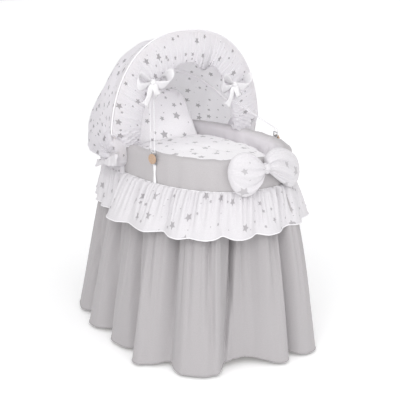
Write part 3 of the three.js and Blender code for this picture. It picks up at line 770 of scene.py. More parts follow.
def make_skirt():
    count = 900
    top_z = BAND_BOTTOM - 0.002
    top, foot = (BAND_A - 0.008, BAND_B - 0.008), (HEM_A, HEM_B, HEM_POWER)
    angle, _ = even_angles(HEM_A, HEM_B, count, HEM_POWER)
    at = np.arange(count) / count
    folds = through(HEM_FOLDS, angle, 0.7) * MM
    wide_folds = through(HEM_FOLDS, angle, 4.0) * MM
    full_side = 0.020 * hump(np.degrees(angle), 22, 24)
    gathers = 0.0032 * pleats(at, 110, 5, narrow=0.6)
    small = 0.0034 * pleats(at, 61, 8, 0.7, narrow=0.6)
    shares = np.linspace(0, 1, 56)
    rows = []
    for share in shares:
        broad = wide_folds * (smooth_step(share, 0, 0.3) - smooth_step(share, 0.3, 0.9)) * 0.3
        fine = gathers * (1 - share) ** 1.2 + small * math.sin(math.pi * min(1, share + 0.1) ** 0.8)
        depth = folds * share ** 0.55 + 0.75 * broad + fine + full_side * math.sin(math.pi * share ** 0.7)
        depth = depth - creased(angle, share)
        lifted = 0.22 * np.maximum(0, -folds) * smooth_step(share, 0.5, 1)
        rows.append(hanging_row(top, foot, angle, share, depth, top_z + (HEM_Z - top_z) * share + lifted))
    grid = np.array(rows)
    wide = run_round(grid[-1])
    cloth = flat_grid(wide, shares * (top_z - HEM_Z))
    skirt = put_grid("skirt_cloth", grid, cloth, skirt_cotton_painted_shade, round_columns=True)
    hem = tube("skirt_hem", grid[-1] + (0, 0, 0.0015), 0.0013, skirt_cotton_painted_shade, sides=6, closed=True)
    finish_piece(skirt, "basket", "grey_cotton", "skirt")
    finish_piece(hem, "basket", "grey_cotton")
    flat = (float(wide[-1]), float(np.mean(column_lengths(grid[:, ::90]))))


FRILL_FULLNESS = 1.12


def make_frill():
    count = 1100
    top, foot = (BAND_A + 0.002, BAND_B + 0.002), (FRILL_A, FRILL_B, OVAL)
    angle, _ = even_angles(FRILL_A, FRILL_B, count)
    at = np.arange(count) / count
    folds = through(FRILL_FOLDS, angle, 1.0) * MM
    gathers = 0.0100 * pleats(at, 104, 21, 0.6, narrow=0.40)
    middling = 0.0072 * pleats(at, 62, 22, 0.7, narrow=0.6)
    head_corner = 0.012 * hump(np.degrees(angle), -112, 16, power=4)
    shares = np.linspace(0, 1, 34)
    rows = []
    for share in shares:
        depth = folds * share ** 0.75 * 1.25
        depth = depth + middling * math.sin(math.pi * min(1, share + 0.10) ** 0.7)
        depth = depth + gathers * (1 - share) ** 1.1 * smooth_step(share, -0.05, 0.08)
        level = BAND_BOTTOM + 0.001 + (FRILL_Z - BAND_BOTTOM) * share
        height = level - 0.30 * np.maximum(folds, -0.01) * share ** 2 - head_corner * share
        rows.append(hanging_row(top, foot, angle, share ** 0.92, depth, height))
    grid = np.array(rows)
    wide = run_round(grid[-1]) * FRILL_FULLNESS
    frill = put_grid("frill_cloth", grid, flat_grid(wide, shares * 0.150), star_cotton, round_columns=True)
    edge = tube("frill_piping", grid[-1], 0.0021, white_cotton, sides=8, closed=True)
    seam_angle, _ = even_angles(BAND_A, BAND_B, 600)
    seam_oval = oval(BAND_A + 0.001, BAND_B + 0.001, seam_angle)
    seam_line = np.column_stack([seam_oval, np.full(600, BAND_BOTTOM + 0.0005)])
    seam = tube("frill_seam", seam_line, 0.0016, white_cotton, sides=8, closed=True)
    finish_piece(frill, "basket", "star_cotton", "frill")
    finish_piece(edge, "basket", "white_cotton")
    finish_piece(seam, "basket", "white_cotton")


# ---- Bumper and bedding ----

LINING_FOOT = 0.557

# The bumper's section, as (distance in from the band's oval, height): outside, top and lining.
BUMPER_FACE = [
    (0.0002, BAND_BOTTOM - 0.001), (-0.0012, 0.640), (-0.0016, 0.668), (0.0002, 0.696), (0.0030, 0.7105),
    (0.0105, 0.7185), (0.0215, 0.7205), (0.0330, 0.7185), (0.0430, 0.7110), (0.0480, 0.6920),
    (0.0520, 0.6600), (0.0600, 0.6200), (0.0660, 0.5800), (0.0680, LINING_FOOT),
]
# The rest of the section: up inside the lining, over the basket's rim and down to the frill's seam.
BUMPER_BACK = [
    (0.0500, LINING_FOOT - 0.002), (0.0420, 0.600), (0.0300, 0.686), (0.0250, 0.703), (0.0130, 0.703),
    (0.0110, 0.680), (0.0110, BAND_BOTTOM),
]


def tub_inside(z):
    return TUB_INSET + TUB_LEAN * (TUB_TOP - z) + TUB_WALL + 0.001


def flat_spline(points, count):
    """A smooth curve through points that have two coordinates."""
    return spline([(*point, 0) for point in points], count)[:, :2]


def make_bumper():
    """The padded ring that hangs over the rim: outer band, rolled top and lining down to the mattress."""
    count = 480
    profile = np.vstack([flat_spline(BUMPER_FACE, 64), flat_spline(BUMPER_BACK, 26)])
    angle, length = even_angles(BAND_A, BAND_B, count)
    at = np.arange(count) / count
    out = oval_outward(BAND_A, BAND_B, angle)
    puckers = pleats(at, 74, 31) * 0.7 + pleats(at, 29, 32) * 0.6
    inner = pleats(at, 26, 33)
    inside = smooth_step(profile[:, 0], 0.028, 0.05)
    rows = []
    for (depth, z), lined in zip(profile, inside):
        if depth < 0.010:
            low = 1 - smooth_step(z, BAND_BOTTOM, BAND_BOTTOM + 0.05)
            swell = 0.0010 * puckers * (0.25 + low) + 0.0012 * inner
        else:
            swell = -(0.0020 * inner * smooth_step(0.715 - z, 0, 0.05) + 0.0005 * puckers) * lined
        top = 0.0022 * (inner * 0.6 + puckers * 0.3) * smooth_step(z, 0.700, 0.719)
        ring = oval(BAND_A, BAND_B, angle) - out * (depth - swell)[:, None]
        rows.append(np.column_stack([ring, z + top]))
    grid = np.array(rows)
    creases = ripple(grid.reshape(-1, 3) * (1, 1, 1.6), 0.16, 34, 0.0030).reshape(grid.shape[:2])
    grid[..., :2] += out * (creases * inside[:, None])[..., None]
    cloth = flat_grid(np.arange(count + 1) / count * length, run_round(grid[:, 0]))
    bumper = put_grid("bumper_pad", grid, cloth, bumper_cotton_painted_light, round_rows=True, round_columns=True)
    finish_piece(bumper, "basket", "grey_cotton", "bumper")


# Levels of the mattress and the duvet, as (distance in from the tub or its lining, height).
MATTRESS_LOW, MATTRESS_HIGH = 0.4845, 0.545
MATTRESS_SIDE = [
    (0.012, MATTRESS_LOW), (0.003, MATTRESS_LOW + 0.006), (0.001, MATTRESS_LOW + 0.03),
    (0.003, MATTRESS_HIGH - 0.007), (0.014, MATTRESS_HIGH), (0.05, MATTRESS_HIGH + 0.001),
    (0.14, MATTRESS_HIGH),
]
# The mattress's two middle rings, by half their length and width.
MATTRESS_MIDDLE = [(0.15, 0.007549), (0.15, 0.002)]
DUVET_SIDE = [
    (0.012, 0.560), (0.004, 0.590), (0.003, 0.630), (0.006, 0.655), (0.020, 0.672), (0.045, 0.681),
    (0.085, 0.687), (0.13, 0.690), (0.175, 0.6915), (0.20, 0.692),
]


def level_ovals(levels, angle, inset):
    """Rings of points inside the tub, one for each level."""
    rows = []
    for depth, z in levels:
        inside = tub_inside(z) + inset + depth
        rows.append(np.column_stack([oval(BAND_A - inside, BAND_B - inside, angle), np.full(len(angle), z)]))
    return rows


def make_mattress():
    count = 160
    angle, length = even_angles(BAND_A, BAND_B, count)
    rows = level_ovals(MATTRESS_SIDE, angle, -0.001)
    for half in MATTRESS_MIDDLE:
        rows.append(np.column_stack([oval(*half, angle), np.full(count, MATTRESS_HIGH)]))
    cloth = flat_grid(np.arange(count + 1) / count * length, np.arange(len(rows)) * 0.03)
    mattress = put_grid("mattress_pad", rows, cloth, white_cotton, round_columns=True, capped=True)
    finish_piece(mattress, "basket", "white_cotton", "mattress")


def cushion(name, width, length, thick, material):
    """A pillow's closed form in its own plane: a crowned face on each side of a seam with soft corners."""
    size, roundness, plump, pulled = 41, 4.2, 0.55, 0.05
    u = np.linspace(-1, 1, size)
    across, along = np.meshgrid(u, u)
    pull = 1 - pulled * (1 - across ** 2) * np.abs(along) - pulled * (1 - along ** 2) * np.abs(across)
    radius = (np.abs(across) ** roundness + np.abs(along) ** roundness) ** (1 / roundness)
    square = np.maximum(np.abs(across), np.abs(along))
    soft = np.where(radius > 0, square / np.maximum(radius, 1e-9), 1) * pull / 2
    crown = ((1 - across ** 2) * (1 - along ** 2)) ** plump * thick / 2 + 0.001
    points = [np.stack([along * soft * length, across * soft * width, sign * crown], -1) for sign in (1, -1)]
    upper = [[r * size + c for r, c in quad] for quad in grid_faces(size, size)]
    lower = [[size * size + point for point in face[::-1]] for face in upper]
    rim = [(0, c) for c in range(size)] + [(r, size - 1) for r in range(1, size)]
    rim += [(size - 1, c) for c in range(size - 2, -1, -1)] + [(r, 0) for r in range(size - 2, 0, -1)]
    line = [r * size + c for r, c in rim]
    sides = [[b, a, a + size * size, b + size * size] for a, b in zip(line, line[1:] + line[:1])]
    return put(name, points, upper + lower + sides, material)


PILLOW_X, PILLOW_Z, PILLOW_LEAN = -0.245, 0.715, math.radians(58)


def lean(points):
    """Tips points in the pillow's own plane back, to the pillow's place."""
    c, s = math.cos(PILLOW_LEAN), math.sin(PILLOW_LEAN)
    x, y, z = points.T
    return np.stack([x * c + z * s + PILLOW_X, y, -x * s + z * c + PILLOW_Z], -1)


def edge_of(points, steps=120):
    """The outline of a flat stuffed piece, a little smoothed, as points round its middle."""
    angle = np.arctan2(points[:, 1], points[:, 0])
    bins = np.round((angle + math.pi) / (2 * math.pi) * steps).astype(int) % steps
    reach = np.zeros(steps)
    np.maximum.at(reach, bins, np.linalg.norm(points[:, :2], axis=1))
    reach = (np.roll(reach, 1) + 2 * reach + np.roll(reach, -1)) / 4
    turn = once_round(steps) - math.pi
    return np.stack([reach * np.cos(turn), reach * np.sin(turn), np.zeros(steps)], -1)


def make_pillow():
    pillow = cushion("pillow_pad", 0.352, 0.342, 0.070, bed_cotton_painted_light)
    reach = np.abs(coordinates(pillow.data)[:, :2]).max(0)
    inflate(pillow, 3.5, 0.012, voxel=0.006)
    points = coordinates(pillow.data)
    points[:, :2] *= reach / np.abs(points[:, :2]).max(0)
    seam_line = edge_of(points)
    points[:, 2] += ripple(points * (1, 1, 0), 0.16, 3, 0.0022)
    move_points(pillow, lean(points))
    down = (0.8 * math.cos(PILLOW_LEAN), 0, -0.8 * math.sin(PILLOW_LEAN))
    lay_print(pillow, (0, 0.8, 0), down, shift=(0.31, 0.12))
    seam = tube("pillow_piping", lean(seam_line), 0.0018, white_cotton, sides=6, closed=True)
    finish_piece(pillow, "basket", "star_cotton", "pillow")
    finish_piece(seam, "basket", "white_cotton")


def make_duvet():
    """A soft quilt tucked into the tub, its top crowned and its edge rolled under at the bumper."""
    angle, _ = even_angles(BAND_A, BAND_B, 120)
    rows = level_ovals(DUVET_SIDE, angle, LINING)
    duvet = put_grid("duvet_pad", rows, None, duvet_cotton_painted_light, round_columns=True, capped=True)
    normal = Vector((math.sin(PILLOW_LEAN), 0, math.cos(PILLOW_LEAN)))
    cut_behind(duvet, Vector((PILLOW_X, 0, PILLOW_Z)) + normal * 0.050, normal)
    inflate(duvet, 3.0, 0.007, voxel=0.008)
    points = coordinates(duvet.data)
    up = smooth_step(points[:, 2], 0.655, 0.685)
    points[:, 2] += up * ripple(points * (1, 1, 0), 0.20, 12, 0.0032)
    points[:, 2] -= up * 0.004 * hump(points[:, 1] + 0.02 - 0.25 * points[:, 0], 0, 0.012)
    move_points(duvet, points)
    lay_print(duvet, (0.25, 0.97, 0.15), (0.97, -0.25, 0.1))
    finish_piece(duvet, "basket", "star_cotton", "duvet")


def cut_behind(piece, point, normal):
    """Cuts a closed piece off behind a plane and caps it."""
    work = bmesh.new()
    work.from_mesh(piece.data)
    everything = work.verts[:] + work.edges[:] + work.faces[:]
    bmesh.ops.bisect_plane(work, geom=everything, plane_co=point, plane_no=normal, clear_inner=True)
    bmesh.ops.holes_fill(work, edges=[e for e in work.edges if e.is_boundary])
    work.to_mesh(piece.data)
    work.free()


# ---- Hood ----

def arch(width, height, angle, tilt, tuck=TUCK_DEPTH):
    """Points of an arch that stands on the hood's pivots, leaning back by tilt."""
    reach = height * signed_power(np.sin(angle), 2 / HOOD_POWER)
    draw = tuck * np.maximum(0, 1 - reach / TUCK_REACH) ** 2
    across = signed_power(np.cos(angle), 2 / HOOD_POWER)
    y = width * across - draw * np.sign(across)
    return np.stack([PIVOT_X - reach * np.sin(tilt), y, PIVOT_Z + reach * np.cos(tilt)], -1)


def hood_size(tilt):
    """Width and height of the hood's arch at a tilt; the cloth sags between the two hoops."""
    sag = math.sin(2 * tilt) ** 2
    saddle = 0.026 * hump(math.degrees(tilt), 11, 7)
    return ARCH_WIDTH - 0.016 * sag + 0.006 * math.sin(tilt) ** 2, ARCH_HEIGHT - 0.026 * sag - saddle


def cover_rows(angle):
    """The hood's cover from the front arch, over the rear hoop and down to its gathered hem.

    The stage of each row is 0 at the front arch, 1 where the cover is level and 2 at the hem.
    """
    rows, stages = [arch(*hood_size(0), angle, 0) + (0.006, 0, 0)], [0.0]
    for tilt in np.linspace(0, 90, 46):
        lean_back = math.radians(tilt)
        rows.append(arch(*hood_size(lean_back), angle, lean_back))
        stages.append(tilt / 90)
    high = rows[-1]
    low = arch(BAND_B + 0.008, BAND_A + 0.008 + PIVOT_X, angle, math.radians(90), tuck=0)
    for drop in np.linspace(0.12, 1, 8):
        row = high + (low - high) * drop ** 2.2
        row[:, 2] = PIVOT_Z + (HOOD_HEM_Z - PIVOT_Z) * drop
        rows.append(row)
        stages.append(1 + drop)
    return np.array(rows), np.array(stages)


def outward_of(rows):
    """Directions out of the hood at each point of its cover."""
    out = unit(np.cross(np.gradient(rows, axis=1), np.gradient(rows, axis=0)))
    return out * np.sign(np.sum(out * (rows - (PIVOT_X, 0, PIVOT_Z)), axis=2, keepdims=True))


REAR_STAGE = 0.533  # where the rear hoop is


def cover_swell(stage, crown, fine, middling, broad):
    """How far one row of the cover stands out: gathers at its edges, and bellies between the hoops."""
    front, hem = 1 - smooth_step(stage, 0.0, 0.16), smooth_step(stage, 0.62, 1.9)
    bay = stage / REAR_STAGE if stage < REAR_STAGE else (min(stage, 1) - REAR_STAGE) / (1 - REAR_STAGE)
    belly = 0.010 * math.sin(math.pi * max(0, stage - 1))
    sides = 0.0030 * (1 - smooth_step(crown, 0.08, 0.34)) * smooth_step(stage, 0.0, 0.1)
    broad = broad * smooth_step(crown, 0.15, 0.7) * smooth_step(stage, 0.0, 0.2)
    swell = 0.0011 * fine * front + 0.0036 * middling * hem + 0.0018 * fine * smooth_step(stage, 1.1, 1.9)
    swell = swell + 0.0046 * broad * (0.35 + 0.5 * hem)
    swell = swell + 0.005 * abs(math.sin(math.pi * bay)) * smooth_step(crown, 0.2, 0.8)
    swell = swell + sides * np.sin(2 * math.pi * 9 * stage + 6 * crown)
    return swell + belly * (0.4 + 0.6 * crown)


DRAWN = 10  # columns of the cover that draw in to each pivot


def draw_in(rows, stages):
    """Adds the cloth that closes the cover's two ends against the bumper, crumpled about the pivot."""
    tilt = np.minimum(stages, 1) * math.pi / 2
    hem = np.maximum(0, stages - 1)
    ends = []
    for side, edge in ((1, rows[:, 0]), (-1, rows[:, -1])):
        x = PIVOT_X - 0.008 * np.sin(tilt) + 0.012 * hem
        z = np.minimum(PIVOT_Z + 0.010 * np.cos(tilt), edge[:, 2])
        target = np.stack([x, np.full(len(x), side * (BAND_B + 0.004)), z], -1)
        columns = []
        for share in np.arange(1, DRAWN + 1) / DRAWN:
            crumple = math.sin(math.pi * share ** 0.7) * np.sin(stages * 31 + 5 * share) * 0.0045
            crumpled = np.stack([0.4 * crumple, side * crumple, 0.6 * crumple], -1)
            columns.append(edge + (target - edge) * share ** 0.85 + crumpled)
        ends.append(np.stack(columns, 1))
    return np.concatenate([ends[0][:, ::-1], rows, ends[1]], axis=1)


# The rows of the short frill on the cover's hem, by how far each is below the hem and out from it.
HEM_FRILL = [(0.004, 0.003), (0.012, 0.008), (0.022, 0.011), (0.033, 0.012)]


def make_cover():
    """The cover with its gathers, its hem's short frill and its drawn-in ends, cut into gores."""
    count = 420
    turn = np.linspace(2.2, 177.8, count)
    angle = np.radians(turn)
    rows, stages = cover_rows(angle)
    at = np.linspace(0.03, 0.97, count)
    fine, middling, broad = pleats(at, 120, 41, 0.4), pleats(at, 46, 42), pleats(at, 17, 43)
    out = outward_of(rows)
    for row, outward, stage in zip(rows, out, stages):
        row += outward * cover_swell(stage, np.sin(angle), fine, middling, broad)[:, None]
    creases = ripple(rows.reshape(-1, 3), 0.13, 44, 0.0022).reshape(rows.shape[:2])
    rows += out * creases[..., None] * smooth_step(stages, 0.0, 0.12)[:, None, None]
    frill_rows = []
    for step, (down, outward) in enumerate(HEM_FRILL):
        flare = out[-1] * (1, 1, 0) * (outward + 0.0008 * middling * (step + 1))[:, None]
        frill_rows.append(rows[-1] + flare - (0, 0, down))
    rows = draw_in(np.concatenate([rows, frill_rows]), np.append(stages, [2.0] * len(HEM_FRILL)))
    make_gores(rows, np.concatenate([np.linspace(0.2, 2, DRAWN), turn, np.linspace(178, 179.8, DRAWN)]))


GORE_SEAMS = [0.1, 10.9, 16.6, 25.7, 41.2, 138.8, 154.3, 163.4, 169.1, 179.9]
TOP_GORE = 4


def make_gores(rows, degrees):
    """The cover's gores, which share their seams."""
    cloth = flat_grid(run_of(rows[0]) * 1.05, run_of(rows[:, rows.shape[1] // 2]))
    for number, (first, last) in enumerate(zip(GORE_SEAMS[:-1], GORE_SEAMS[1:])):
        a, b = (int(k) for k in np.searchsorted(degrees, (first - 0.2, last + 0.2)))
        if last < GORE_SEAMS[-1]:
            b += 1
        part = rows[:, a:b]
        gore = put_grid(f"hood_gore_{number + 1}", part, cloth[:, a:b], hood_cotton)
        if number == TOP_GORE:
            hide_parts("canopy")
        flat = (float(np.mean(row_lengths(part))), float(np.median(column_lengths(part))))
        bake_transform(gore)


def make_casings():
    """Cloth channels sewn inside the cover, which the two willow hoops run in."""
    turn = np.radians(np.linspace(1.5, 178.5, 220))
    # The rear casing takes the brighter bedding white, painted light in the shade inside the cover.
    casings = (("front", "hood_front", 0.0, hood_cotton), ("rear", "hood_rear", REAR_TILT, bed_cotton_painted_light))
    for name, body, tilt, cloth in casings:
        width, height = hood_size(tilt)
        line = arch(width - 0.014, height - 0.014, turn, tilt)
        casing = tube(f"hoop_casing_{name}", line, 0.0064, cloth, sides=12)
        finish_piece(casing, body, "star_cotton")


# The fan that each lower front corner of the cover is drawn up into: its rim and its tie, as (x, z).
FAN_RIM = [
    (-0.155, 0.700), (-0.126, 0.744), (-0.088, 0.766), (-0.050, 0.760), (-0.026, 0.738), (-0.018, 0.710),
    (-0.016, 0.684), (-0.018, 0.660), (-0.034, 0.644), (-0.064, 0.640),
]
TIE_X, TIE_Z = -0.105, 0.668
RUFFLE_WIDE = 0.034


def make_gathers():
    """The cover's two lower front corners: a fan of cloth tied to the basket, and a ruffle at the tie."""
    count = 150
    rim = flat_spline(FAN_RIM, count)
    at = np.linspace(0, 1, count)
    puckered = pleats(at * 0.93, 21, 71, 0.6, narrow=0.6) + 0.5 * pleats(at * 0.93, 37, 72, 0.5)
    for name, side in SIDES.items():
        rows = []
        for share in np.linspace(0.06, 1, 24):
            x, z = ((TIE_X, TIE_Z) + (rim - (TIE_X, TIE_Z)) * share).T
            band = oval_side(x, BAND_A, BAND_B)
            swell = 0.044 - 0.010 * share + 0.006 * math.sin(math.pi * share)
            swell = swell - 0.006 * smooth_step(share, 0.86) + 0.014 * smooth_step(z, 0.685, 0.740)
            out = band + swell + 0.0060 * puckered * math.sin(math.pi * share ** 0.6)
            rows.append(np.stack([x, side * out, z], -1))
        rim_row = rows[-1]
        for turned_in in (0.5, 0.1):
            edge = rim_row + (0.0015, 0, 0.001)
            edge[:, 1] = side * (band + (np.abs(edge[:, 1]) - band) * turned_in)
            rows.append(edge)
        grid = np.array(rows)
        cloth = flat_grid(at * 0.30, run_of(grid[:, count // 2]))
        fan = put_grid(f"hood_gather_{name}", grid, cloth, hood_cotton)
        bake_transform(fan)
        flat = (float(row_lengths(grid).mean()), float(np.mean(column_lengths(grid[:, ::15]))))
        make_tie_ruffle(name, side)


def make_tie_ruffle(name, side):
    """A short crumpled ruffle that is narrow at the tie and opens to both sides."""
    at = np.linspace(-1, 1, 90)
    x = TIE_X + 0.020 + 0.096 * at
    z = TIE_Z - 0.013 + 0.026 * at
    out = oval_side(x, BAND_A, BAND_B) + 0.057
    half = 0.006 + np.where(at < 0, 0.010, 0.019) * np.abs(at) ** 0.7 * (1 - 0.4 * at ** 8)
    fade = np.abs(at) * (1 - 0.7 * at ** 4)
    rows = []
    for share in np.linspace(-1, 1, 15):
        wave = 0.0056 * np.sin(8 * at + 1.6 * share) * fade + 0.0016 * np.sin(23 * at + share)
        rows.append(np.stack([x, side * (out + wave - 0.004 * share), z + half * share], -1))
    run = run_of(rows[len(rows) // 2])
    cloth = flat_grid(run, np.linspace(0, RUFFLE_WIDE, len(rows)))
    ruffle = put_grid(f"tie_ruffle_{name}", rows, cloth, star_cotton)
    finish_piece(ruffle, "basket", "star_cotton")


BUNCH_Y, LIFT_Y = 0.062, 0.118  # across the hood, where the valance hangs lowest and highest


def valance_edge(turn):
    """The valance's inner edge, which hangs down in one bunch, and how bunched each point is."""
    inner = arch(VALANCE_WIDTH, VALANCE_HEIGHT + 0.012, turn, 0, tuck=0)
    y = inner[:, 1]
    high = smooth_step(inner[:, 2], 0.90, 0.97)
    inner[:, 2] += high * (0.010 * hump(y, LIFT_Y, 0.026) - 0.024 * hump(y, BUNCH_Y, 0.030))
    inner[:, 2] -= high * 0.020 * smooth_step(-y, 0.03, 0.12)
    return inner, hump(y, BUNCH_Y, 0.035) * high


def crumple_feet(grid):
    """Wrinkles the valance's two feet, and rolls them up where they meet the tied corners of the cover."""
    across, height = np.abs(grid[..., 1]), grid[..., 2]
    foot = VALANCE_FOOT + 0.006 - 0.020 * hump(across, 0.262, 0.034)
    foot = foot + 0.032 * smooth_step(across, 0.27, 0.31)
    below = np.maximum(0, foot - height)
    wrinkled = 1 - smooth_step(height, 0.742, 0.800)
    for size, slant, pitch in ((0.0034, 0.45, 0.017), (0.0026, -0.7, 0.027)):
        grid[..., 0] += size * wrinkled * np.sin(2 * math.pi * (height + slant * across) / pitch)
    rolled = 0.012 * (1 - np.exp(-below / 0.010))
    waved = foot - rolled + 0.0030 * np.sin(across * 260) * np.minimum(1, below / 0.01)
    grid[..., 2] = np.where(below > 0, waved, height)
    grid[..., 0] -= 0.35 * below


def make_valance():
    """The gathered facing inside the front arch: radial gathers from the piping to a loose inner edge."""
    count = 520
    turn = np.radians(np.linspace(2.5, 177.5, count))
    at = np.linspace(0.03, 0.97, count)
    outer = arch(ARCH_WIDTH - 0.001, ARCH_HEIGHT - 0.001, turn, 0)
    inner, bunch = valance_edge(turn)
    toward = unit(outer - inner)
    fine, middling = pleats(at, 118, 51, 0.45), pleats(at, 47, 52)
    shares = np.linspace(0, 1, 30)
    rows = []
    for share in shares:
        line = outer + (inner - outer) * share
        forward = 0.004 + 0.010 * math.sin(math.pi * share) - 0.004 * share
        depth = 0.0019 * fine * (0.45 + 0.55 * share) * smooth_step(share, 0, 0.12)
        depth = depth + 0.0030 * middling * share + 0.006 * bunch * fine * share ** 3
        line[:, 0] = VALANCE_X + forward + depth
        rows.append(line + toward * (0.0022 * middling + 0.0016 * fine)[:, None] * share ** 4)
    for turned_back in ((-0.006, 0, 0.0015), (-0.008, 0, 0.012)):
        rows.append(rows[-1] + turned_back)
    grid = np.array(rows)
    crumple_feet(grid)
    cloth = flat_grid(run_of(outer) * 1.25, np.append(shares * 0.125, [0.131, 0.146]))
    valance = put_grid("valance_cloth", grid, cloth, hood_cotton)
    piping_turn = np.radians(np.linspace(7.4, 172.6, 240))
    piping_line = arch(ARCH_WIDTH + 0.0005, ARCH_HEIGHT + 0.0005, piping_turn, 0) + (0.0075, 0, 0)
    piping = tube("arch_piping", piping_line, 0.0028, white_cotton, sides=8)
    finish_piece(valance, "hood_front", "star_cotton", "valance")
    finish_piece(piping, "hood_front", "white_cotton")


# ---- Satin bows and tabs ----

# Loops of each bow, as (hand, reach, rise, droop), and the tails of both, as (hand, reach, drop).
BOW_LOOPS = {
    "left": ((-1, 0.068, 0.020, 0.10), (1, 0.068, 0.026, 0.16)),
    "right": ((-1, 0.066, 0.030, 0.25), (1, 0.060, 0.012, -0.2)),
}
BOW_TAILS = ((-1, 0.034, 0.080), (1, 0.024, 0.050))
RIBBON_WIDE, TAIL_WIDE, TAB_WIDE = 0.052, 0.030, 0.015


def ribbon(path, across):
    """A strip of ribbon along a path; across is its width and its direction at each point."""
    steps = np.linspace(-0.5, 0.5, 5)
    return path[None, :, :] + steps[:, None, None] * across[None, :, :]


def own_cloth(grid):
    """Flat-cloth positions of a strip, from the lengths of its middle row and column."""
    rows, columns = grid.shape[:2]
    return flat_grid(run_of(grid[rows // 2]), run_of(grid[:, columns // 2]))


def join_strips(name, grids, material):
    points, faces, corners = [], [], []
    for grid in grids:
        columns = grid.shape[1]
        cloth = own_cloth(grid)
        for quad in grid_faces(*grid.shape[:2]):
            faces.append([len(points) + r * columns + c for r, c in quad])
            corners += [cloth[r, c] for r, c in quad]
        points += list(grid.reshape(-1, 3))
    return put(name, points, faces, material, corners)


def bow_loop(knot, hand, reach, rise, droop):
    """One loop, which is drawn together at the knot; gives its strip and its length."""
    turn = np.linspace(0, 1, 40)
    swing = np.sin(math.pi * turn)
    up = 0.5 * rise * swing + 0.021 * np.sin(2 * math.pi * turn) - droop * 0.01
    path = knot + np.stack([0.010 * swing + 0.004, hand * reach * swing ** 0.8, up], -1)
    tilt = np.stack([0.85 + 0.1 * np.cos(math.pi * turn), np.full(40, hand * 0.25), np.full(40, 0.80)], -1)
    spread = 0.40 + 0.60 * smooth_step(swing, 0, 0.7)
    return ribbon(path, RIBBON_WIDE * unit(tilt) * spread[:, None]), run_of(path)[-1]


def bow_tail(knot, hand, reach, drop):
    """One hanging tail with a slanting end; gives its strip and its length."""
    turn = np.linspace(0, 1, 26)
    down = -drop * turn + 0.003 * np.sin(7 * turn)
    path = knot + np.stack([0.002 + 0.006 * np.sin(3 * turn), hand * reach * turn ** 1.2, down], -1)
    across = np.stack([0.35 * np.cos(5 * turn), np.full(26, 0.95), np.full(26, hand * 0.30)], -1)
    spread = 0.45 + 0.55 * smooth_step(turn, 0, 0.5)
    strip = ribbon(path, TAIL_WIDE * unit(across) * spread[:, None])
    strip[:, -1, 2] += np.linspace(-0.010, 0.010, 5) * hand
    return strip, run_of(path)[-1]


def make_bow_tie(name, knot):
    """The short ribbon that is wound round the bow's middle."""
    count = 28
    turn = once_round(count)
    rows = []
    for share in np.linspace(-1, 1, 9):
        swell = 1 - 0.35 * abs(share) ** 3
        x = 0.003 + 0.0085 * swell * np.cos(turn)
        y = np.full(count, share * 0.0075 * (1 + 0.25 * share ** 2))
        z = 0.0105 * swell * np.sin(turn) + 0.0006 * np.sin(9 * share)
        rows.append(knot + np.stack([x, y, z], -1))
    cloth = flat_grid(np.linspace(0, 0.06, count + 1), np.linspace(0, 0.02, 9))
    return put_grid(f"bow_tie_{name}", rows, cloth, ribbon_satin, round_columns=True)


def make_satin_bow(name):
    """Two soft loops, two slanting tails and the tie round their middle."""
    y, z = BOWS[name]
    knot = np.array([BOW_X + 0.008, y, z])
    strips = [bow_loop(knot, *loop) for loop in BOW_LOOPS[name]]
    strips += [bow_tail(knot, *tail) for tail in BOW_TAILS]
    bow = join_strips(f"bow_{name}", [strip for strip, _ in strips], ribbon_satin)
    tie = make_bow_tie(name, knot)
    for piece in (bow, tie):
        thicken(piece, 0.0006)
    finish_piece(bow, "hood_front", "satin", f"satin_bow_{name}")
    finish_piece(tie, "hood_front", "satin")


def make_tab(name):
    """The satin tab sewn under the band's seam, a little creased, with its top in the clip's jaw."""
    middle, along, outward = clip_frame_of(SIDES[name])
    down = np.linspace(0, 1, 26)
    top = 0.020
    height = CLIP_Z - top - BAND_BOTTOM
    half = TAB_WIDE / 2 * (0.82 + 0.18 * np.cos(2 * math.pi * down))
    rows = []
    for share in np.linspace(-1, 1, 7):
        bulge = 0.0022 + (0.0012 + 0.0010 * math.cos(4 * share)) * np.sin(math.pi * down)
        hanging = -np.outer(top + height * down, (0, 0, 1))
        rows.append(middle + np.outer(share * half, along) + np.outer(bulge, outward) + hanging)
    grid = np.array(rows)
    tab = put_grid(f"tab_{name}", grid, own_cloth(grid), ribbon_satin)
    thicken(tab, 0.0008)
    finish_piece(tab, "basket", "satin", f"satin_tab_{name}")


# ---- Foot bow ----

# Outlines of the foot bow's two loops from the knot to the far end, as (across, up) in millimetres.
BOW_TOPS = {
    "left": [(-30, 706), (-53, 730), (-76, 748), (-108, 756), (-136, 740), (-151, 700)],
    "right": [(-20, 708), (-24, 732), (-4, 751), (28, 757), (92, 734), (138, 694), (154, 652)],
}
BOW_FEET = {
    "left": [
        (-28, 684), (-39, 658), (-53, 633), (-78, 611), (-104, 608), (-132, 628), (-146, 662), (-151, 700),
    ],
    "right": [(-16, 684), (-2, 672), (24, 652), (54, 631), (96, 610), (134, 617), (154, 652)],
}
BOW_KNOT_Y, BOW_KNOT_Z = -0.025, 0.695
BOW_ROUND = 120


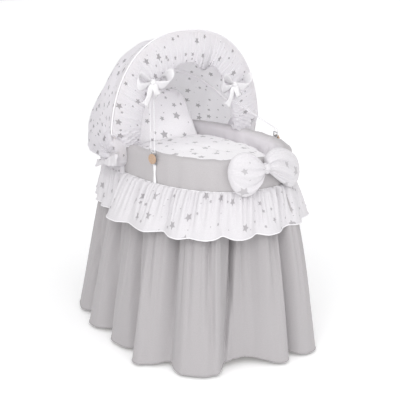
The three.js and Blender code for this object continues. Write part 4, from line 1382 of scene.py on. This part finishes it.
def make_foot_loop(name, side):
    """One puffed loop of star cotton, creased at the knot."""
    around = once_round(BOW_ROUND)
    count = 44
    waves = ((0.45, 5, 0.9 * side), (0.45, 9, 1.3), (0.35, 16, 0))
    folds = sum(size * np.cos(times * around + phase) for size, times, phase in waves)
    tops, feet = (flat_spline(outline[name], count) * MM for outline in (BOW_TOPS, BOW_FEET))
    rows = []
    for share, high, low in zip(np.linspace(0, 1, count), tops, feet):
        puffed = 0.024 * math.sin(math.pi * share ** 0.75) ** 0.6 if share < 1 else 0
        depth = max(puffed, 0.010 * (1 - share))
        crease = 1 + 0.42 * folds * (1 - share) ** 0.75 * smooth_step(share, -0.05, 0.15)
        across, up = ((high + low) / 2)[:, None] + ((high - low) / 2)[:, None] * np.sin(around)
        band = oval_side(across, BAND_B, BAND_A) * 0.7 + BAND_A * 0.3
        rows.append(np.stack([band + 0.021 + depth * np.cos(around) * crease, across, up], -1))
    loop = put_grid(f"foot_loop_{name}", rows, None, bow_cotton, round_columns=True)
    lay_print(loop, (0, 0.8, 0.1), (0.2, -0.1, 0.8), shift=(0.15, 0.33))
    return loop


def make_foot_knot():
    around = once_round(BOW_ROUND)
    crease = 1 + 0.06 * np.cos(7 * around) + 0.04 * np.cos(12 * around)
    rows = []
    for share in np.linspace(-1, 1, 21):
        swell = (1 - 0.42 * abs(share) ** 2.5) * (1 if abs(share) < 1 else 0.4)
        x = BAND_A + 0.024 + 0.017 * swell * np.cos(around) * crease
        y = BOW_KNOT_Y + 0.012 * share * (1 + 0.18 * abs(share)) + 0.0015 * np.sin(3 * around)
        z = BOW_KNOT_Z + 0.018 * swell * np.sin(around) * crease
        rows.append(np.stack([x, y, z], -1))
    cloth = flat_grid(np.linspace(0, 0.1, BOW_ROUND + 1), np.linspace(0, 0.03, 21))
    return put_grid("foot_knot", rows, cloth, bow_cotton, round_columns=True)


def make_foot_bow():
    for name, side in SIDES.items():
        loop = make_foot_loop(name, side)
        finish_piece(loop, "basket", "star_cotton", *(["foot_bow"] if name == "left" else []))
    knot = make_foot_knot()
    finish_piece(knot, "basket", "star_cotton", "foot_bow_knot")


# ---- CAD parts that stay ----

# Materials of the CAD nodes, by how their names start.
PAINTS = [
    (beech, ("leg", "side_rail", "end_rail", "slat", "shelf")),
    (nickel, ("rail_bolt", "axle", "hood_bracket", "hood_pin", "clip_frame", "clip_lever")),
    (disc_wood, ("clip_disc",)),
    (castor_plastic, ("castor_fork", "brake_lever")),
    (tread, ("wheel",)),
    (wicker, ("basket_wall", "basket_base", "basket_rim")),
    (willow, ("front_hoop", "rear_hoop")),
]


def paint_cad():
    for name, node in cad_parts.items():
        for material, starts in PAINTS:
            if name.startswith(starts):
                node.data.materials.clear()
                node.data.materials.append(material)


make_camera()
make_cords()
make_studio()
make_skirt()
make_frill()
make_bumper()
make_mattress()
make_pillow()
make_duvet()
make_cover()
make_casings()
make_gathers()
make_valance()
for side_name in SIDES:
    make_satin_bow(side_name)
    make_tab(side_name)
make_foot_bow()
paint_cad()
